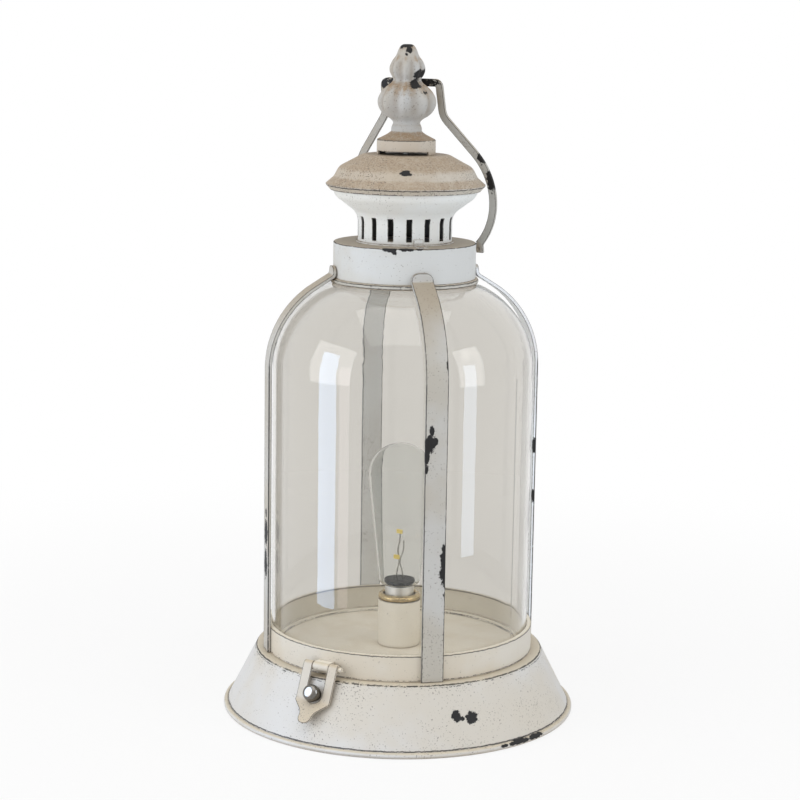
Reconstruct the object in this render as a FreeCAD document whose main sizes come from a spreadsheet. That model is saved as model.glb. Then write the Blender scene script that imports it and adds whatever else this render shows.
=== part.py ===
import FreeCAD, Part
import math
import os
import re
import Sketcher
from FreeCAD import Placement, Rotation, Vector

# Lantern table lamp: a spun metal foot, a glass dome in a cage of four flat straps that tilts back
# on a rear hinge, a vented chimney and roof with a cast finial, a carrying bail and a front hasp.
# Frame: millimetres, +Z up, origin on the table at the middle of the foot. The hasp is at the
# front (-Y) and the hinge at the back (+Y).

# ---------------------------------------------------------------- driving dimensions
SIZES = [
    # foot: spun skirt with a rolled rim, a rounded shoulder and a flat deck
    ("rim_radius", 133.5),
    ("rim_roll", 2.2),
    ("rim_flat", 0.8),
    ("deck_level", 47.0),
    ("shoulder_reach", 7.4),
    ("shoulder_round", 2.6),
    ("sheet_wall", 1.2),
    # ring band that carries the glass and the straps
    ("ring_radius", 101.0),
    ("ring_height", 19.2),
    ("ring_gap", 0.3),
    ("ring_shelf", 9.5),
    # glass dome
    ("glass_inset", 3.5),
    ("glass_wall", 2.5),
    ("glass_height", 280.1),
    ("glass_gap", 0.3),
    ("dome_radius", 67.5),
    # flat straps
    ("strap_width", 16.2),
    ("strap_thick", 2.4),
    ("strap_gap", 0.05),
    ("strap_bend", 3.7),
    ("strap_bend_rise", 2.2),
    ("strap_end_rise", 8.8),
    ("strap_end_round", 5.5),
    # collar with its bead
    ("collar_radius", 53.0),
    ("collar_height", 26.2),
    ("collar_opening", 31.0),
    ("bead_radius", 2.0),
    ("bead_overhang", 0.3),
    ("bead_gap", 0.3),
    # slotted chimney and bell
    ("chimney_radius", 34.9),
    ("chimney_wall", 1.0),
    ("chimney_foot_lip", 1.4),
    ("chimney_rise", 20.8),
    ("bell_round", 12.0),
    ("bell_radius", 52.6),
    ("bell_rise", 34.1),
    ("bell_lip_radius", 54.4),
    ("bell_height", 41.6),
    ("slot_count", 16),
    ("slot_width", 4.0),
    ("slot_height", 16.6),
    ("slot_sill", 3.0),
    ("slot_angle", 13.7),
    ("seam_width", 7.0),
    ("seam_thick", 0.9),
    ("seam_rise", 5.0),
    ("seam_reach", 49.0),
    ("seam_gap", 0.05),
    # roof
    ("roof_radius", 59.0),
    ("roof_rim_level", 42.8),
    ("roof_wall", 1.0),
    ("roof_brim_radius", 53.3),
    ("roof_brim_rise", 5.0),
    ("roof_brim_round", 5.0),
    ("roof_side_radius", 49.3),
    ("roof_side_rise", 12.4),
    ("roof_side_round", 9.0),
    ("roof_top_radius", 31.8),
    ("roof_top_round", 7.0),
    ("roof_rise", 21.8),
    ("crimp_drop", 4.4),
    ("crimp_gap", 0.3),
    # vent cap and finial
    ("cap_radius", 21.7),
    ("cap_height", 11.0),
    ("vent_height", 2.6),
    ("vent_angle", 118.6),
    ("vent_turn", -69.5),
    ("finial_height", 69.0),
    ("finial_foot_radius", 21.3),
    ("finial_stem_radius", 11.0),
    ("finial_neck_radius", 9.0),
    ("finial_bulb_radius", 23.8),
    ("finial_bulb_round", 13.0),
    ("finial_waist_radius", 9.1),
    ("finial_bud_radius", 13.7),
    ("finial_bud_round", 6.0),
    ("finial_tip_radius", 8.5),
    ("finial_soft", 2.0),
    ("finial_ribs", 8),
    ("finial_turn", 25.2),
    ("rib_angle", 6.0),
    ("rib_height", 0.9),
    ("stud_radius", 2.5),
    ("stud_gap", 0.1),
    ("nut_width", 8.0),
    ("nut_height", 4.0),
    # carrying bail
    ("bail_width", 5.4),
    ("bail_thick", 2.2),
    ("bail_pivot_rise", 20.5),
    ("bail_turn", 45.0),
    ("bail_pin_radius", 1.7),
    ("bail_pin_gap", 0.1),
    ("bail_side_gap", 2.9),
    ("bail_belly", 76.7),
    ("bail_belly_rise", 37.2),
    ("bail_belly_round", 50.0),
    ("bail_neck", 24.8),
    ("bail_neck_rise", 99.5),
    ("bail_neck_round", 14.0),
    ("bail_grip", 23.5),
    ("bail_grip_rise", 124.2),
    ("bail_grip_round", 3.2),
    ("bail_grip_shift", -6.0),
    ("bail_rest_gap", 0.4),
    # hasp and its stud
    ("hasp_width", 28.6),
    ("hasp_thick", 1.5),
    ("hasp_length", 25.5),
    ("hasp_clear", 1.3),
    ("hasp_tongue", 19.5),
    ("hasp_bend", 26.0),
    ("hasp_bend_round", 9.0),
    ("hasp_pivot_reach", 5.5),
    ("hasp_pivot_level", 8.0),
    ("hasp_barrel", 3.1),
    ("hasp_tip", 10.4),
    ("hasp_tip_round", 4.7),
    ("hasp_waist_round", 7.0),
    ("pin_radius", 1.8),
    ("pin_gap", 0.05),
    ("lug_gap", 0.4),
    ("ball_radius", 6.1),
    ("ball_gap", 0.9),
    ("ball_length", 8.2),
    ("ball_face", 2.8),
    ("ball_round", 3.6),
    ("ball_neck", 3.6),
    ("ball_neck_length", 3.6),
    ("ball_level", 35.7),
    # rear hinge
    ("hinge_reach", 4.4),
    ("hinge_rise", 3.2),
    ("hinge_barrel", 2.6),
    ("hinge_pin", 1.2),
    ("hinge_width", 26.0),
    ("hinge_middle", 12.4),
    ("hinge_gap", 0.3),
    ("hinge_leaf", 1.3),
    ("hinge_drop", 17.0),
    ("hinge_rise_leaf", 13.0),
    # lamp holder
    ("cup_radius", 16.0),
    ("cup_height", 35.3),
    ("cup_wall", 0.8),
    ("collet_height", 4.8),
    ("collet_roll", 2.3),
    ("holder_radius", 12.4),
    ("holder_wall", 0.9),
    ("holder_foot", 10.0),
    ("nipple_radius", 4.9),
    ("nipple_bore", 3.4),
    ("nipple_gap", 0.1),
    ("nipple_below", 6.5),
    ("nipple_above", 4.0),
    # bulb
    ("bulb_cap_radius", 11.0),
    ("bulb_cap_gap", 0.3),
    ("bulb_cap_height", 31.2),
    ("bulb_height", 141.1),
    ("bulb_shoulder", 27.6),
    ("bulb_crown_flat", 0.3),
    ("bulb_neck_radius", 15.4),
    ("bulb_neck_rise", 1.4),
    ("bulb_wall", 0.8),
    ("bulb_pin_rise", 9.0),
    ("bulb_pin_radius", 1.0),
    ("bulb_pin_reach", 1.1),
    ("bulb_turn", 15.0),
    ("bulb_disc_rise", 2.5),
    ("bulb_disc_thick", 2.0),
    ("lead_radius", 0.5),
    ("lead_gap", 0.02),
    ("lead_spread", 3.0),
    ("lead_rise", 38.0),
    ("lead_sink", 7.0),
    ("chip_width", 4.6),
    ("chip_thick", 1.4),
    ("chip_height", 3.0),
    # battery box under the deck
    ("box_length", 76.0),
    ("box_depth", 66.0),
    ("box_wall", 1.8),
    ("box_foot", 14.0),
    ("box_gap", 0.2),
    ("bay_length", 60.0),
    ("bay_width", 47.0),
    ("bay_height", 17.0),
    ("bay_offset", 6.0),
    ("cell_radius", 7.25),
    ("cell_length", 50.5),
    ("cell_gap", 0.4),
    ("door_thick", 1.8),
    ("door_gap", 0.2),
    ("door_lip", 1.6),
    ("switch_travel", 4.0),
    ("switch_knob", 5.0),
    ("wire_radius", 0.8),
]

doc = FreeCAD.newDocument("LanternTableLamp")
sheet = doc.addObject("Spreadsheet::Sheet", "Sizes")
for row, (alias, value) in enumerate(SIZES, 1):
    sheet.set(f"A{row}", alias)
    sheet.set(f"B{row}", str(value))
    sheet.setAlias(f"B{row}", alias)
doc.recompute()
ALIASES = {alias for alias, value in SIZES}

# ---------------------------------------------------------------- levels and radii shared by pieces
GLASS_RADIUS = "(ring_radius - glass_inset)"
SHOULDER_RADIUS = "(ring_radius + shoulder_reach)"
RIM_CENTRE = "(rim_radius - rim_roll)"
RIM_LEVEL = "sqrt(rim_roll^2 - rim_flat^2)"
SKIRT_SLOPE = f"(({RIM_CENTRE} - {SHOULDER_RADIUS}) / (deck_level - {RIM_LEVEL}))"
SKIRT_RUN = f"sqrt(1 + {SKIRT_SLOPE}^2)"
RING_FOOT = "(deck_level + ring_gap)"
RING_TOP = f"({RING_FOOT} + ring_height)"
GLASS_FOOT = f"({RING_FOOT} + sheet_wall + glass_gap)"
GLASS_TOP = f"({GLASS_FOOT} + glass_height)"
DOME_CENTRE = f"({GLASS_RADIUS} - dome_radius)"
DOME_LEVEL = f"({GLASS_TOP} - dome_radius)"
BEAD_CIRCLE = "(collar_radius + bead_overhang)"
BEAD_REACH = "(dome_radius + bead_gap + bead_radius)"
BEAD_LEVEL = f"({DOME_LEVEL} + sqrt({BEAD_REACH}^2 - ({BEAD_CIRCLE} - {DOME_CENTRE})^2))"
COLLAR_FOOT = f"({BEAD_LEVEL} + bead_radius)"
COLLAR_TOP = f"({COLLAR_FOOT} + collar_height)"
ROOF_RIM = f"({COLLAR_TOP} + roof_rim_level)"
ROOF_TOP = f"({ROOF_RIM} + roof_rise)"
CAP_TOP = f"({ROOF_TOP} + cap_height)"
STRAP_LINE = "(ring_radius + strap_gap + strap_thick / 2)"
BAIL_PIVOT_R = "(collar_radius * cos(bail_turn))"
BAIL_LEVEL = f"({COLLAR_FOOT} + bail_pivot_rise)"
PIVOT_R = "(ring_radius + hasp_pivot_reach)"
PIVOT_LEVEL = "(deck_level + hasp_pivot_level)"
HINGE_R = "(ring_radius + hinge_reach)"
HINGE_LEVEL = "(deck_level + hinge_rise)"
BALL_R = f"({RIM_CENTRE} - (ball_level - {RIM_LEVEL}) * {SKIRT_SLOPE})"
CUP_TOP = "(deck_level + cup_height)"
SLEEVE_BORE = "(bulb_cap_radius + bulb_cap_gap)"
BULB_FOOT = "(deck_level + holder_foot + 5)"
BULB_NECK = f"({BULB_FOOT} + bulb_cap_height + bulb_neck_rise)"
BULB_TAPER = "(atan((bulb_shoulder - bulb_neck_radius) / (bulb_height - bulb_cap_height - bulb_neck_rise)))"
BULB_CROWN = f"((bulb_shoulder - bulb_crown_flat) * tan((90 deg - {BULB_TAPER}) / 2))"
DISC_TOP = f"({BULB_FOOT} + bulb_cap_height + bulb_disc_rise + bulb_disc_thick)"
HASP_SLOT = "(ball_radius + ball_gap)"


# ---------------------------------------------------------------- helpers
def bound(text):
    """The expression with every size name pointing at the sheet."""
    text = str(text)
    return re.sub(r"[a-z][a-z_]*", lambda m: "Sizes." + m.group() if m.group() in ALIASES else m.group(), text)


def size(text):
    """The value of a size or of an expression of sizes."""
    value = sheet.evalExpression(str(text))
    return float(getattr(value, "Value", value))


def new_body(label):
    made = doc.addObject("PartDesign::Body", label + "_body")
    made.Label = label
    return made


def plane_of(body, role):
    return [feature for feature in body.Origin.OriginFeatures if feature.Role == role][0]


def new_sketch(body, role, name, offset=None):
    """A sketch on one of the body's own origin planes, moved along its normal by an expression."""
    made = body.newObject("Sketcher::SketchObject", name)
    made.AttachmentSupport = (plane_of(body, role), [""])
    made.MapMode = "FlatFace"
    if offset is not None:
        made.setExpression("AttachmentOffset.Base.z", bound(offset))
    return made


def pin_point(sketch, geometry, end, x, y):
    """Hold a point at two expressions measured from the sketch's origin."""
    for kind, text, axis in (("DistanceX", x, -2), ("DistanceY", y, -1)):
        value = size(text)
        if abs(value) < 1e-9:
            sketch.addConstraint(Sketcher.Constraint("PointOnObject", geometry, end, axis))
        else:
            index = sketch.addConstraint(Sketcher.Constraint(kind, -1, 1, geometry, end, value))
            sketch.setExpression(f"Constraints[{index}]", bound(text))


def draw(sketch, corners, closed=True):
    """Lines through the corners, each an (x, y) or (x, y, round) of expressions."""
    spots = [Vector(size(c[0]), size(c[1]), 0) for c in corners]
    rounds = [size(c[2]) if len(c) > 2 else 0 for c in corners]
    count = len(corners)
    starts, ends = [], []
    for i in range(count):
        here, before, after = spots[i], spots[i - 1], spots[(i + 1) % count]
        if rounds[i]:
            back = (before - here).normalize()
            ahead = (after - here).normalize()
            run = rounds[i] / math.tan(back.getAngle(ahead) / 2)
            ends.append(here + back * run)
            starts.append(here + ahead * run)
        else:
            ends.append(here)
            starts.append(here)
    lines = []
    for i in range(count if closed else count - 1):
        lines.append(sketch.addGeometry(Part.LineSegment(starts[i], ends[(i + 1) % count]), False))
    for i in range(count):
        inner = closed or 0 < i < count - 1
        first = lines[i - 1] if inner else None
        second = lines[i] if i < len(lines) else None
        if not rounds[i]:
            if inner:
                sketch.addConstraint(Sketcher.Constraint("Coincident", first, 2, second, 1))
            if second is not None:
                pin_point(sketch, second, 1, corners[i][0], corners[i][1])
            else:
                pin_point(sketch, lines[-1], 2, corners[i][0], corners[i][1])
            continue
        back = (ends[i] - spots[i]).normalize()
        ahead = (starts[i] - spots[i]).normalize()
        middle = (back + ahead).normalize()
        centre = spots[i] + middle * (rounds[i] / math.sin(back.getAngle(ahead) / 2))
        touch = centre - middle * rounds[i]
        arc = Part.Arc(ends[i], touch, starts[i])
        made = sketch.addGeometry(arc, False)
        turns_left = (touch - ends[i]).cross(starts[i] - touch).z > 0
        near, far = (1, 2) if turns_left else (2, 1)
        mark = sketch.addGeometry(Part.Point(spots[i]), True)
        pin_point(sketch, mark, 1, corners[i][0], corners[i][1])
        sketch.addConstraint(Sketcher.Constraint("PointOnObject", mark, 1, first))
        sketch.addConstraint(Sketcher.Constraint("PointOnObject", mark, 1, second))
        sketch.addConstraint(Sketcher.Constraint("Tangent", first, 2, made, near))
        sketch.addConstraint(Sketcher.Constraint("Tangent", made, far, second, 1))
        index = sketch.addConstraint(Sketcher.Constraint("Radius", made, rounds[i]))
        sketch.setExpression(f"Constraints[{index}]", bound(corners[i][2]))


def circle(sketch, x, y, radius):
    made = sketch.addGeometry(Part.Circle(Vector(size(x), size(y), 0), Vector(0, 0, 1), size(radius)), False)
    pin_point(sketch, made, 3, x, y)
    index = sketch.addConstraint(Sketcher.Constraint("Radius", made, size(radius)))
    sketch.setExpression(f"Constraints[{index}]", bound(radius))


def block_outline(sketch, x0, y0, x1, y1):
    draw(sketch, [(x0, y0), (x1, y0), (x1, y1), (x0, y1)])


def revolve(body, corners, name, angle=360):
    """A profile in the XZ plane turned about Z."""
    sketch = new_sketch(body, "XZ_Plane", name + "_profile")
    draw(sketch, corners)
    made = body.newObject("PartDesign::Revolution", name)
    made.Profile = sketch
    made.ReferenceAxis = (sketch, ["V_Axis"])
    made.Angle = angle
    doc.recompute()
    return made


def turned(label, corners):
    """A turned or spun piece."""
    body = new_body(label)
    revolve(body, corners, label + "_turn")
    return body


def pad(body, sketch, length, name, both=False, back=False):
    made = body.newObject("PartDesign::Pad", name)
    made.Profile = sketch
    made.Length = size(length)
    made.setExpression("Length", bound(length))
    made.SideType = "Symmetric" if both else "One side"
    made.Reversed = back
    doc.recompute()
    return made


def pocket(body, sketch, length, name, both=False, back=False):
    """A cut that has to take something away."""
    before = body.Shape.Volume
    made = body.newObject("PartDesign::Pocket", name)
    made.Profile = sketch
    made.Length = size(length)
    made.setExpression("Length", bound(length))
    made.SideType = "Symmetric" if both else "One side"
    made.Reversed = back
    doc.recompute()
    if not body.Shape.Volume < before - 1e-6:
        raise ValueError(name + " cuts nothing")
    return made


def cylinder(name, radius, height, place, lie=None):
    """A Part cylinder, standing on its place, or lying along X."""
    made = doc.addObject("Part::Cylinder", name)
    made.setExpression("Radius", bound(radius))
    made.setExpression("Height", bound(height))
    put(made, place, lie)
    return made


def box(name, length, width, height, place, lie=None):
    made = doc.addObject("Part::Box", name)
    made.setExpression("Length", bound(length))
    made.setExpression("Width", bound(width))
    made.setExpression("Height", bound(height))
    put(made, place, lie)
    return made


def put(made, place, lie=None):
    """Place an object at three expressions, turned about an axis by an expression of degrees."""
    axis, angle = lie or (Vector(0, 0, 1), "0")
    made.Placement = Placement(Vector(0, 0, 0), Rotation(axis, size(angle)))
    for letter, text in zip("xyz", place):
        made.setExpression(f"Placement.Base.{letter}", bound(text))
    doc.recompute()


ALONG_X = (Vector(0, 1, 0), "90")
ALONG_Y = (Vector(1, 0, 0), "-90")


def cut(label, base, tools):
    """Base less each tool; the result carries the label."""
    kept = base
    for number, tool in enumerate(tools, 1):
        made = doc.addObject("Part::Cut", f"{label}_cut{number}")
        made.Base = kept
        made.Tool = tool
        kept = made
    base.Label = label + "_blank"
    kept.Label = label
    doc.recompute()
    return kept


def joined(label, shapes):
    made = doc.addObject("Part::MultiFuse", label + "_fuse")
    made.Shapes = shapes
    made.Refine = True
    made.Label = label
    doc.recompute()
    return made


def hex_prism(name, width, height, place, lie=None):
    made = doc.addObject("Part::Prism", name)
    made.Polygon = 6
    made.setExpression("Circumradius", bound(f"{width} / sqrt(3)"))
    made.setExpression("Height", bound(height))
    put(made, place, lie)
    return made


def group_of(label, pieces):
    """Separate solids kept under one name."""
    made = doc.addObject("Part::Compound", label + "_group")
    made.Links = pieces
    made.Label = label
    doc.recompute()
    return made


# ---------------------------------------------------------------- foot
def base_shell():
    """Spun skirt and deck in one sheet, rolled round the rim and flattened where it stands."""
    body = new_body("base_shell")
    inner = f"({SKIRT_SLOPE} * sheet_wall - {SKIRT_RUN} * sheet_wall)"
    revolve(body, [
        ("nipple_radius + nipple_gap", "deck_level - sheet_wall"),
        ("nipple_radius + nipple_gap", "deck_level"),
        (SHOULDER_RADIUS, "deck_level", "shoulder_round"),
        (RIM_CENTRE, RIM_LEVEL),
        (f"{RIM_CENTRE} - {SKIRT_RUN} * sheet_wall", RIM_LEVEL),
        (f"{SHOULDER_RADIUS} + {inner}", "deck_level - sheet_wall", "shoulder_round - sheet_wall"),
    ], "skirt_sheet")
    sketch = new_sketch(body, "XZ_Plane", "rim_roll_profile")
    centre = Vector(size(RIM_CENTRE), size(RIM_LEVEL), 0)
    left = Vector(centre.x - size("rim_flat"), 0, 0)
    right = Vector(centre.x + size("rim_flat"), 0, 0)
    roll = sketch.addGeometry(Part.Arc(right, centre + Vector(0, size("rim_roll"), 0), left), False)
    flat = sketch.addGeometry(Part.LineSegment(left, right), False)
    sketch.addConstraint(Sketcher.Constraint("Coincident", roll, 1, flat, 2))
    sketch.addConstraint(Sketcher.Constraint("Coincident", roll, 2, flat, 1))
    pin_point(sketch, roll, 3, RIM_CENTRE, RIM_LEVEL)
    index = sketch.addConstraint(Sketcher.Constraint("Radius", roll, size("rim_roll")))
    sketch.setExpression(f"Constraints[{index}]", bound("rim_roll"))
    sketch.addConstraint(Sketcher.Constraint("PointOnObject", flat, 1, -1))
    sketch.addConstraint(Sketcher.Constraint("PointOnObject", flat, 2, -1))
    made = body.newObject("PartDesign::Revolution", "rim_roll_turn")
    made.Profile = sketch
    made.ReferenceAxis = (sketch, ["V_Axis"])
    doc.recompute()
    hole = cylinder("stud_hole", "stud_radius + stud_gap", "20", ("0", "0", "0"))
    stand_on_skirt(hole, "-10")
    return cut("base_shell", body, [hole])


def skirt_angle():
    return math.degrees(math.atan(size(SKIRT_SLOPE)))


def stand_on_skirt(made, rise):
    """Turn an object's Z square to the front of the skirt, its foot a rise outside the sheet."""
    tilt = 90 - skirt_angle()
    made.Placement = Placement(Vector(0, 0, 0), Rotation(Vector(1, 0, 0), tilt))
    made.setExpression("Placement.Base.y", bound(f"-({BALL_R} + ({rise}) / {SKIRT_RUN})"))
    made.setExpression("Placement.Base.z", bound(f"ball_level + ({rise}) * {SKIRT_SLOPE} / {SKIRT_RUN}"))
    doc.recompute()


def latch_stud():
    """Plated ball stud that the hasp drops over, with its shank through the skirt."""
    body = turned("latch_stud", [
        ("0", "-sheet_wall - nut_height - 2"),
        ("stud_radius", "-sheet_wall - nut_height - 2"),
        ("stud_radius", "0.1"),
        ("ball_neck + 0.8", "0.1"),
        ("ball_neck + 0.8", "1"),
        ("ball_neck", "1"),
        ("ball_neck", "ball_neck_length"),
        ("ball_radius", "ball_neck_length", "1.2"),
        ("ball_radius", "ball_neck_length + ball_length", "ball_round"),
        ("ball_face - 1.2", "ball_neck_length + ball_length"),
        ("0", "ball_neck_length + ball_length"),
    ])
    stand_on_skirt(body, "0")
    return body


def latch_stud_nut():
    """Nut that draws the stud against the skirt."""
    nut = hex_prism("latch_nut_hex", "nut_width", "nut_height", ("0", "0", "0"))
    stand_on_skirt(nut, "-sheet_wall - nut_height - 0.3")
    bore = cylinder("latch_nut_bore", "stud_radius + stud_gap", "40", ("0", "0", "0"))
    stand_on_skirt(bore, "-20")
    return cut("latch_stud_nut", nut, [bore])


# ---------------------------------------------------------------- cage
def cage_ring():
    """Band round the foot of the glass: rolled lip on top, shelf for the glass below."""
    lip = f"{GLASS_RADIUS} + glass_gap"
    return turned("cage_ring", [
        ("ring_radius", RING_FOOT),
        ("ring_radius", RING_TOP, "0.9"),
        (lip, RING_TOP),
        (lip, f"{RING_TOP} - sheet_wall"),
        ("ring_radius - sheet_wall", f"{RING_TOP} - sheet_wall"),
        ("ring_radius - sheet_wall", f"{RING_FOOT} + sheet_wall"),
        ("ring_radius - ring_shelf", f"{RING_FOOT} + sheet_wall"),
        ("ring_radius - ring_shelf", RING_FOOT),
    ])


def glass_dome():
    """Blown dome with a ground foot and a round opening under the collar."""
    return turned("glass_dome", [
        (GLASS_RADIUS, GLASS_FOOT),
        (GLASS_RADIUS, GLASS_TOP, "dome_radius"),
        (f"{DOME_CENTRE} - 1", GLASS_TOP),
        (f"{DOME_CENTRE} - 1", f"{GLASS_TOP} - glass_wall"),
        (f"{GLASS_RADIUS} - glass_wall", f"{GLASS_TOP} - glass_wall", "dome_radius - glass_wall"),
        (f"{GLASS_RADIUS} - glass_wall", GLASS_FOOT),
    ])


def strap(label, turn):
    """Flat bar up the glass, bent in over its shoulder and up against the collar's face."""
    body = new_body(label)
    arc = f"({STRAP_LINE} - {DOME_CENTRE})"
    top_line = "(collar_radius + strap_gap + strap_thick / 2)"
    top_bend = f"({COLLAR_FOOT} + strap_bend_rise)"
    across = f"({top_line} - {DOME_CENTRE})"
    above = f"({top_bend} - {DOME_LEVEL})"
    lean = f"(atan({above} / {across}) - acos({arc} / sqrt({across}^2 + {above}^2)))"
    path = new_sketch(body, "XZ_Plane", label + "_path")
    draw(path, [
        (STRAP_LINE, RING_FOOT),
        (STRAP_LINE, f"{DOME_LEVEL} + {arc} * tan({lean} / 2)", arc),
        (top_line, top_bend, "strap_bend"),
        (top_line, f"{COLLAR_FOOT} + strap_end_rise"),
    ], closed=False)
    section = new_sketch(body, "XY_Plane", label + "_section", RING_FOOT)
    block_outline(section, f"{STRAP_LINE} - strap_thick / 2", "-strap_width / 2",
                  f"{STRAP_LINE} + strap_thick / 2", "strap_width / 2")
    doc.recompute()
    made = body.newObject("PartDesign::AdditivePipe", label + "_bar")
    made.Profile = section
    made.Spine = (path, [])
    doc.recompute()
    top = size(f"{COLLAR_FOOT} + strap_end_rise")
    corners = []
    for number, edge in enumerate(body.Shape.Edges, 1):
        bounds = edge.BoundBox
        if bounds.ZMin > top - 0.01 and bounds.YLength < 0.01:
            corners.append(f"Edge{number}")
    ease = body.newObject("PartDesign::Fillet", label + "_end")
    ease.Base = (made, corners)
    ease.Radius = size("strap_end_round")
    ease.setExpression("Radius", bound("strap_end_round"))
    body.Placement = Placement(Vector(0, 0, 0), Rotation(Vector(0, 0, 1), turn))
    doc.recompute()
    return body


def neck_collar():
    """Drum over the mouth of the glass; the bail hooks into two holes in its wall."""
    body = turned("neck_collar", [
        ("collar_radius", COLLAR_FOOT),
        ("collar_radius", COLLAR_TOP, "1"),
        ("collar_opening", COLLAR_TOP),
        ("collar_opening", f"{COLLAR_TOP} - sheet_wall"),
        ("collar_radius - sheet_wall", f"{COLLAR_TOP} - sheet_wall"),
        ("collar_radius - sheet_wall", COLLAR_FOOT),
    ])
    holes = cylinder("bail_holes", "bail_pin_radius + bail_pin_gap", "2 * collar_radius",
                     ("-collar_radius", BAIL_PIVOT_R, BAIL_LEVEL), ALONG_X)
    return cut("neck_collar", body, [holes])


def collar_bead():
    """Wire bead round the collar's foot, seated on the shoulder of the glass."""
    made = doc.addObject("Part::Torus", "collar_bead_wire")
    made.setExpression("Radius1", bound(BEAD_CIRCLE))
    made.setExpression("Radius2", bound("bead_radius"))
    put(made, ("0", "0", BEAD_LEVEL))
    made.Label = "collar_bead"
    return made


def vent_chimney():
    """Slotted chimney that flares into the bell under the roof, lapped at a seam."""
    body = new_body("vent_chimney")
    inner = "- chimney_wall"
    revolve(body, [
        ("chimney_radius + chimney_foot_lip", COLLAR_TOP),
        ("chimney_radius + chimney_foot_lip", f"{COLLAR_TOP} + chimney_wall"),
        ("chimney_radius", f"{COLLAR_TOP} + chimney_wall"),
        ("chimney_radius", f"{COLLAR_TOP} + chimney_rise", "bell_round"),
        ("bell_radius", f"{COLLAR_TOP} + bell_rise", "bell_round - 2"),
        ("bell_lip_radius", f"{COLLAR_TOP} + bell_height"),
        (f"bell_lip_radius {inner}", f"{COLLAR_TOP} + bell_height"),
        (f"bell_radius {inner}", f"{COLLAR_TOP} + bell_rise", "bell_round - 2"),
        (f"chimney_radius {inner}", f"{COLLAR_TOP} + chimney_rise", "bell_round"),
        (f"chimney_radius {inner}", COLLAR_TOP),
    ], "chimney_sheet")
    sketch = new_sketch(body, "YZ_Plane", "slot_outline")
    block_outline(sketch, "-slot_width / 2", f"{COLLAR_TOP} + slot_sill",
                  "slot_width / 2", f"{COLLAR_TOP} + slot_sill + slot_height")
    slot = pocket(body, sketch, "chimney_radius + 2", "first_slot", back=True)
    ring = body.newObject("PartDesign::PolarPattern", "slots")
    ring.Originals = [slot]
    ring.Axis = (sketch, ["V_Axis"])
    ring.Angle = 360
    ring.Occurrences = int(size("slot_count"))
    ring.setExpression("Occurrences", bound("slot_count"))
    body.Tip = ring
    body.Placement = Placement(Vector(0, 0, 0), Rotation(Vector(0, 0, 1), size("slot_angle - 90")))
    doc.recompute()
    return body


def chimney_seam():
    """Lap of the chimney's rolled strip, between two slots, turned out over its foot onto the ledge."""
    body = new_body("chimney_seam")
    on_wall, over = "(chimney_radius + seam_thick)", f"({COLLAR_TOP} + chimney_wall)"
    lip = "(chimney_radius + chimney_foot_lip)"
    side = new_sketch(body, "XZ_Plane", "seam_side")
    draw(side, [
        ("chimney_radius - seam_thick", over),
        (lip, over),
        (lip, COLLAR_TOP),
        ("seam_reach", COLLAR_TOP),
        ("seam_reach", f"{COLLAR_TOP} + seam_thick"),
        (f"{lip} + seam_thick", f"{COLLAR_TOP} + seam_thick"),
        (f"{lip} + seam_thick", f"{over} + seam_thick"),
        (on_wall, f"{over} + seam_thick"),
        (on_wall, f"{COLLAR_TOP} + seam_rise"),
        ("chimney_radius - seam_thick", f"{COLLAR_TOP} + seam_rise"),
    ])
    pad(body, side, "seam_width", "seam_strip", both=True)
    turn = size("slot_angle + 1.5 * 360 / slot_count - 90")
    body.Placement = Placement(Vector(0, 0, 0), Rotation(Vector(0, 0, 1), turn))
    wall = cylinder("seam_wall", "chimney_radius", "seam_rise + 2", ("0", "0", f"{COLLAR_TOP} - 1"))
    foot = cylinder("seam_foot", f"{lip} + seam_gap", "chimney_wall + 1", ("0", "0", f"{COLLAR_TOP} - 1"))
    return cut("chimney_seam", body, [wall, foot])


def roof():
    """Spun roof: flat crown, rounded shoulder, brim, and an edge crimped round the bell."""
    under = f"({ROOF_RIM} - crimp_drop)"
    inside = "(bell_lip_radius + crimp_gap)"
    return turned("roof", [
        ("roof_radius", f"{ROOF_RIM} - 0.7"),
        ("roof_radius", ROOF_RIM),
        ("roof_brim_radius", f"{ROOF_RIM} + roof_brim_rise", "roof_brim_round"),
        ("roof_side_radius", f"{ROOF_RIM} + roof_side_rise", "roof_side_round"),
        ("roof_top_radius", ROOF_TOP, "roof_top_round"),
        ("stud_radius + stud_gap", ROOF_TOP),
        ("stud_radius + stud_gap", f"{ROOF_TOP} - roof_wall"),
        ("roof_top_radius - roof_wall / 3", f"{ROOF_TOP} - roof_wall", "roof_top_round - roof_wall"),
        ("roof_side_radius - roof_wall", f"{ROOF_RIM} + roof_side_rise - roof_wall / 2",
         "roof_side_round - roof_wall"),
        ("roof_brim_radius - roof_wall", f"{ROOF_RIM} + roof_brim_rise - roof_wall / 2", "roof_brim_round"),
        (inside, f"{COLLAR_TOP} + bell_height + crimp_gap"),
        (inside, under),
        (f"{inside} + roof_wall", under),
    ])


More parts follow.
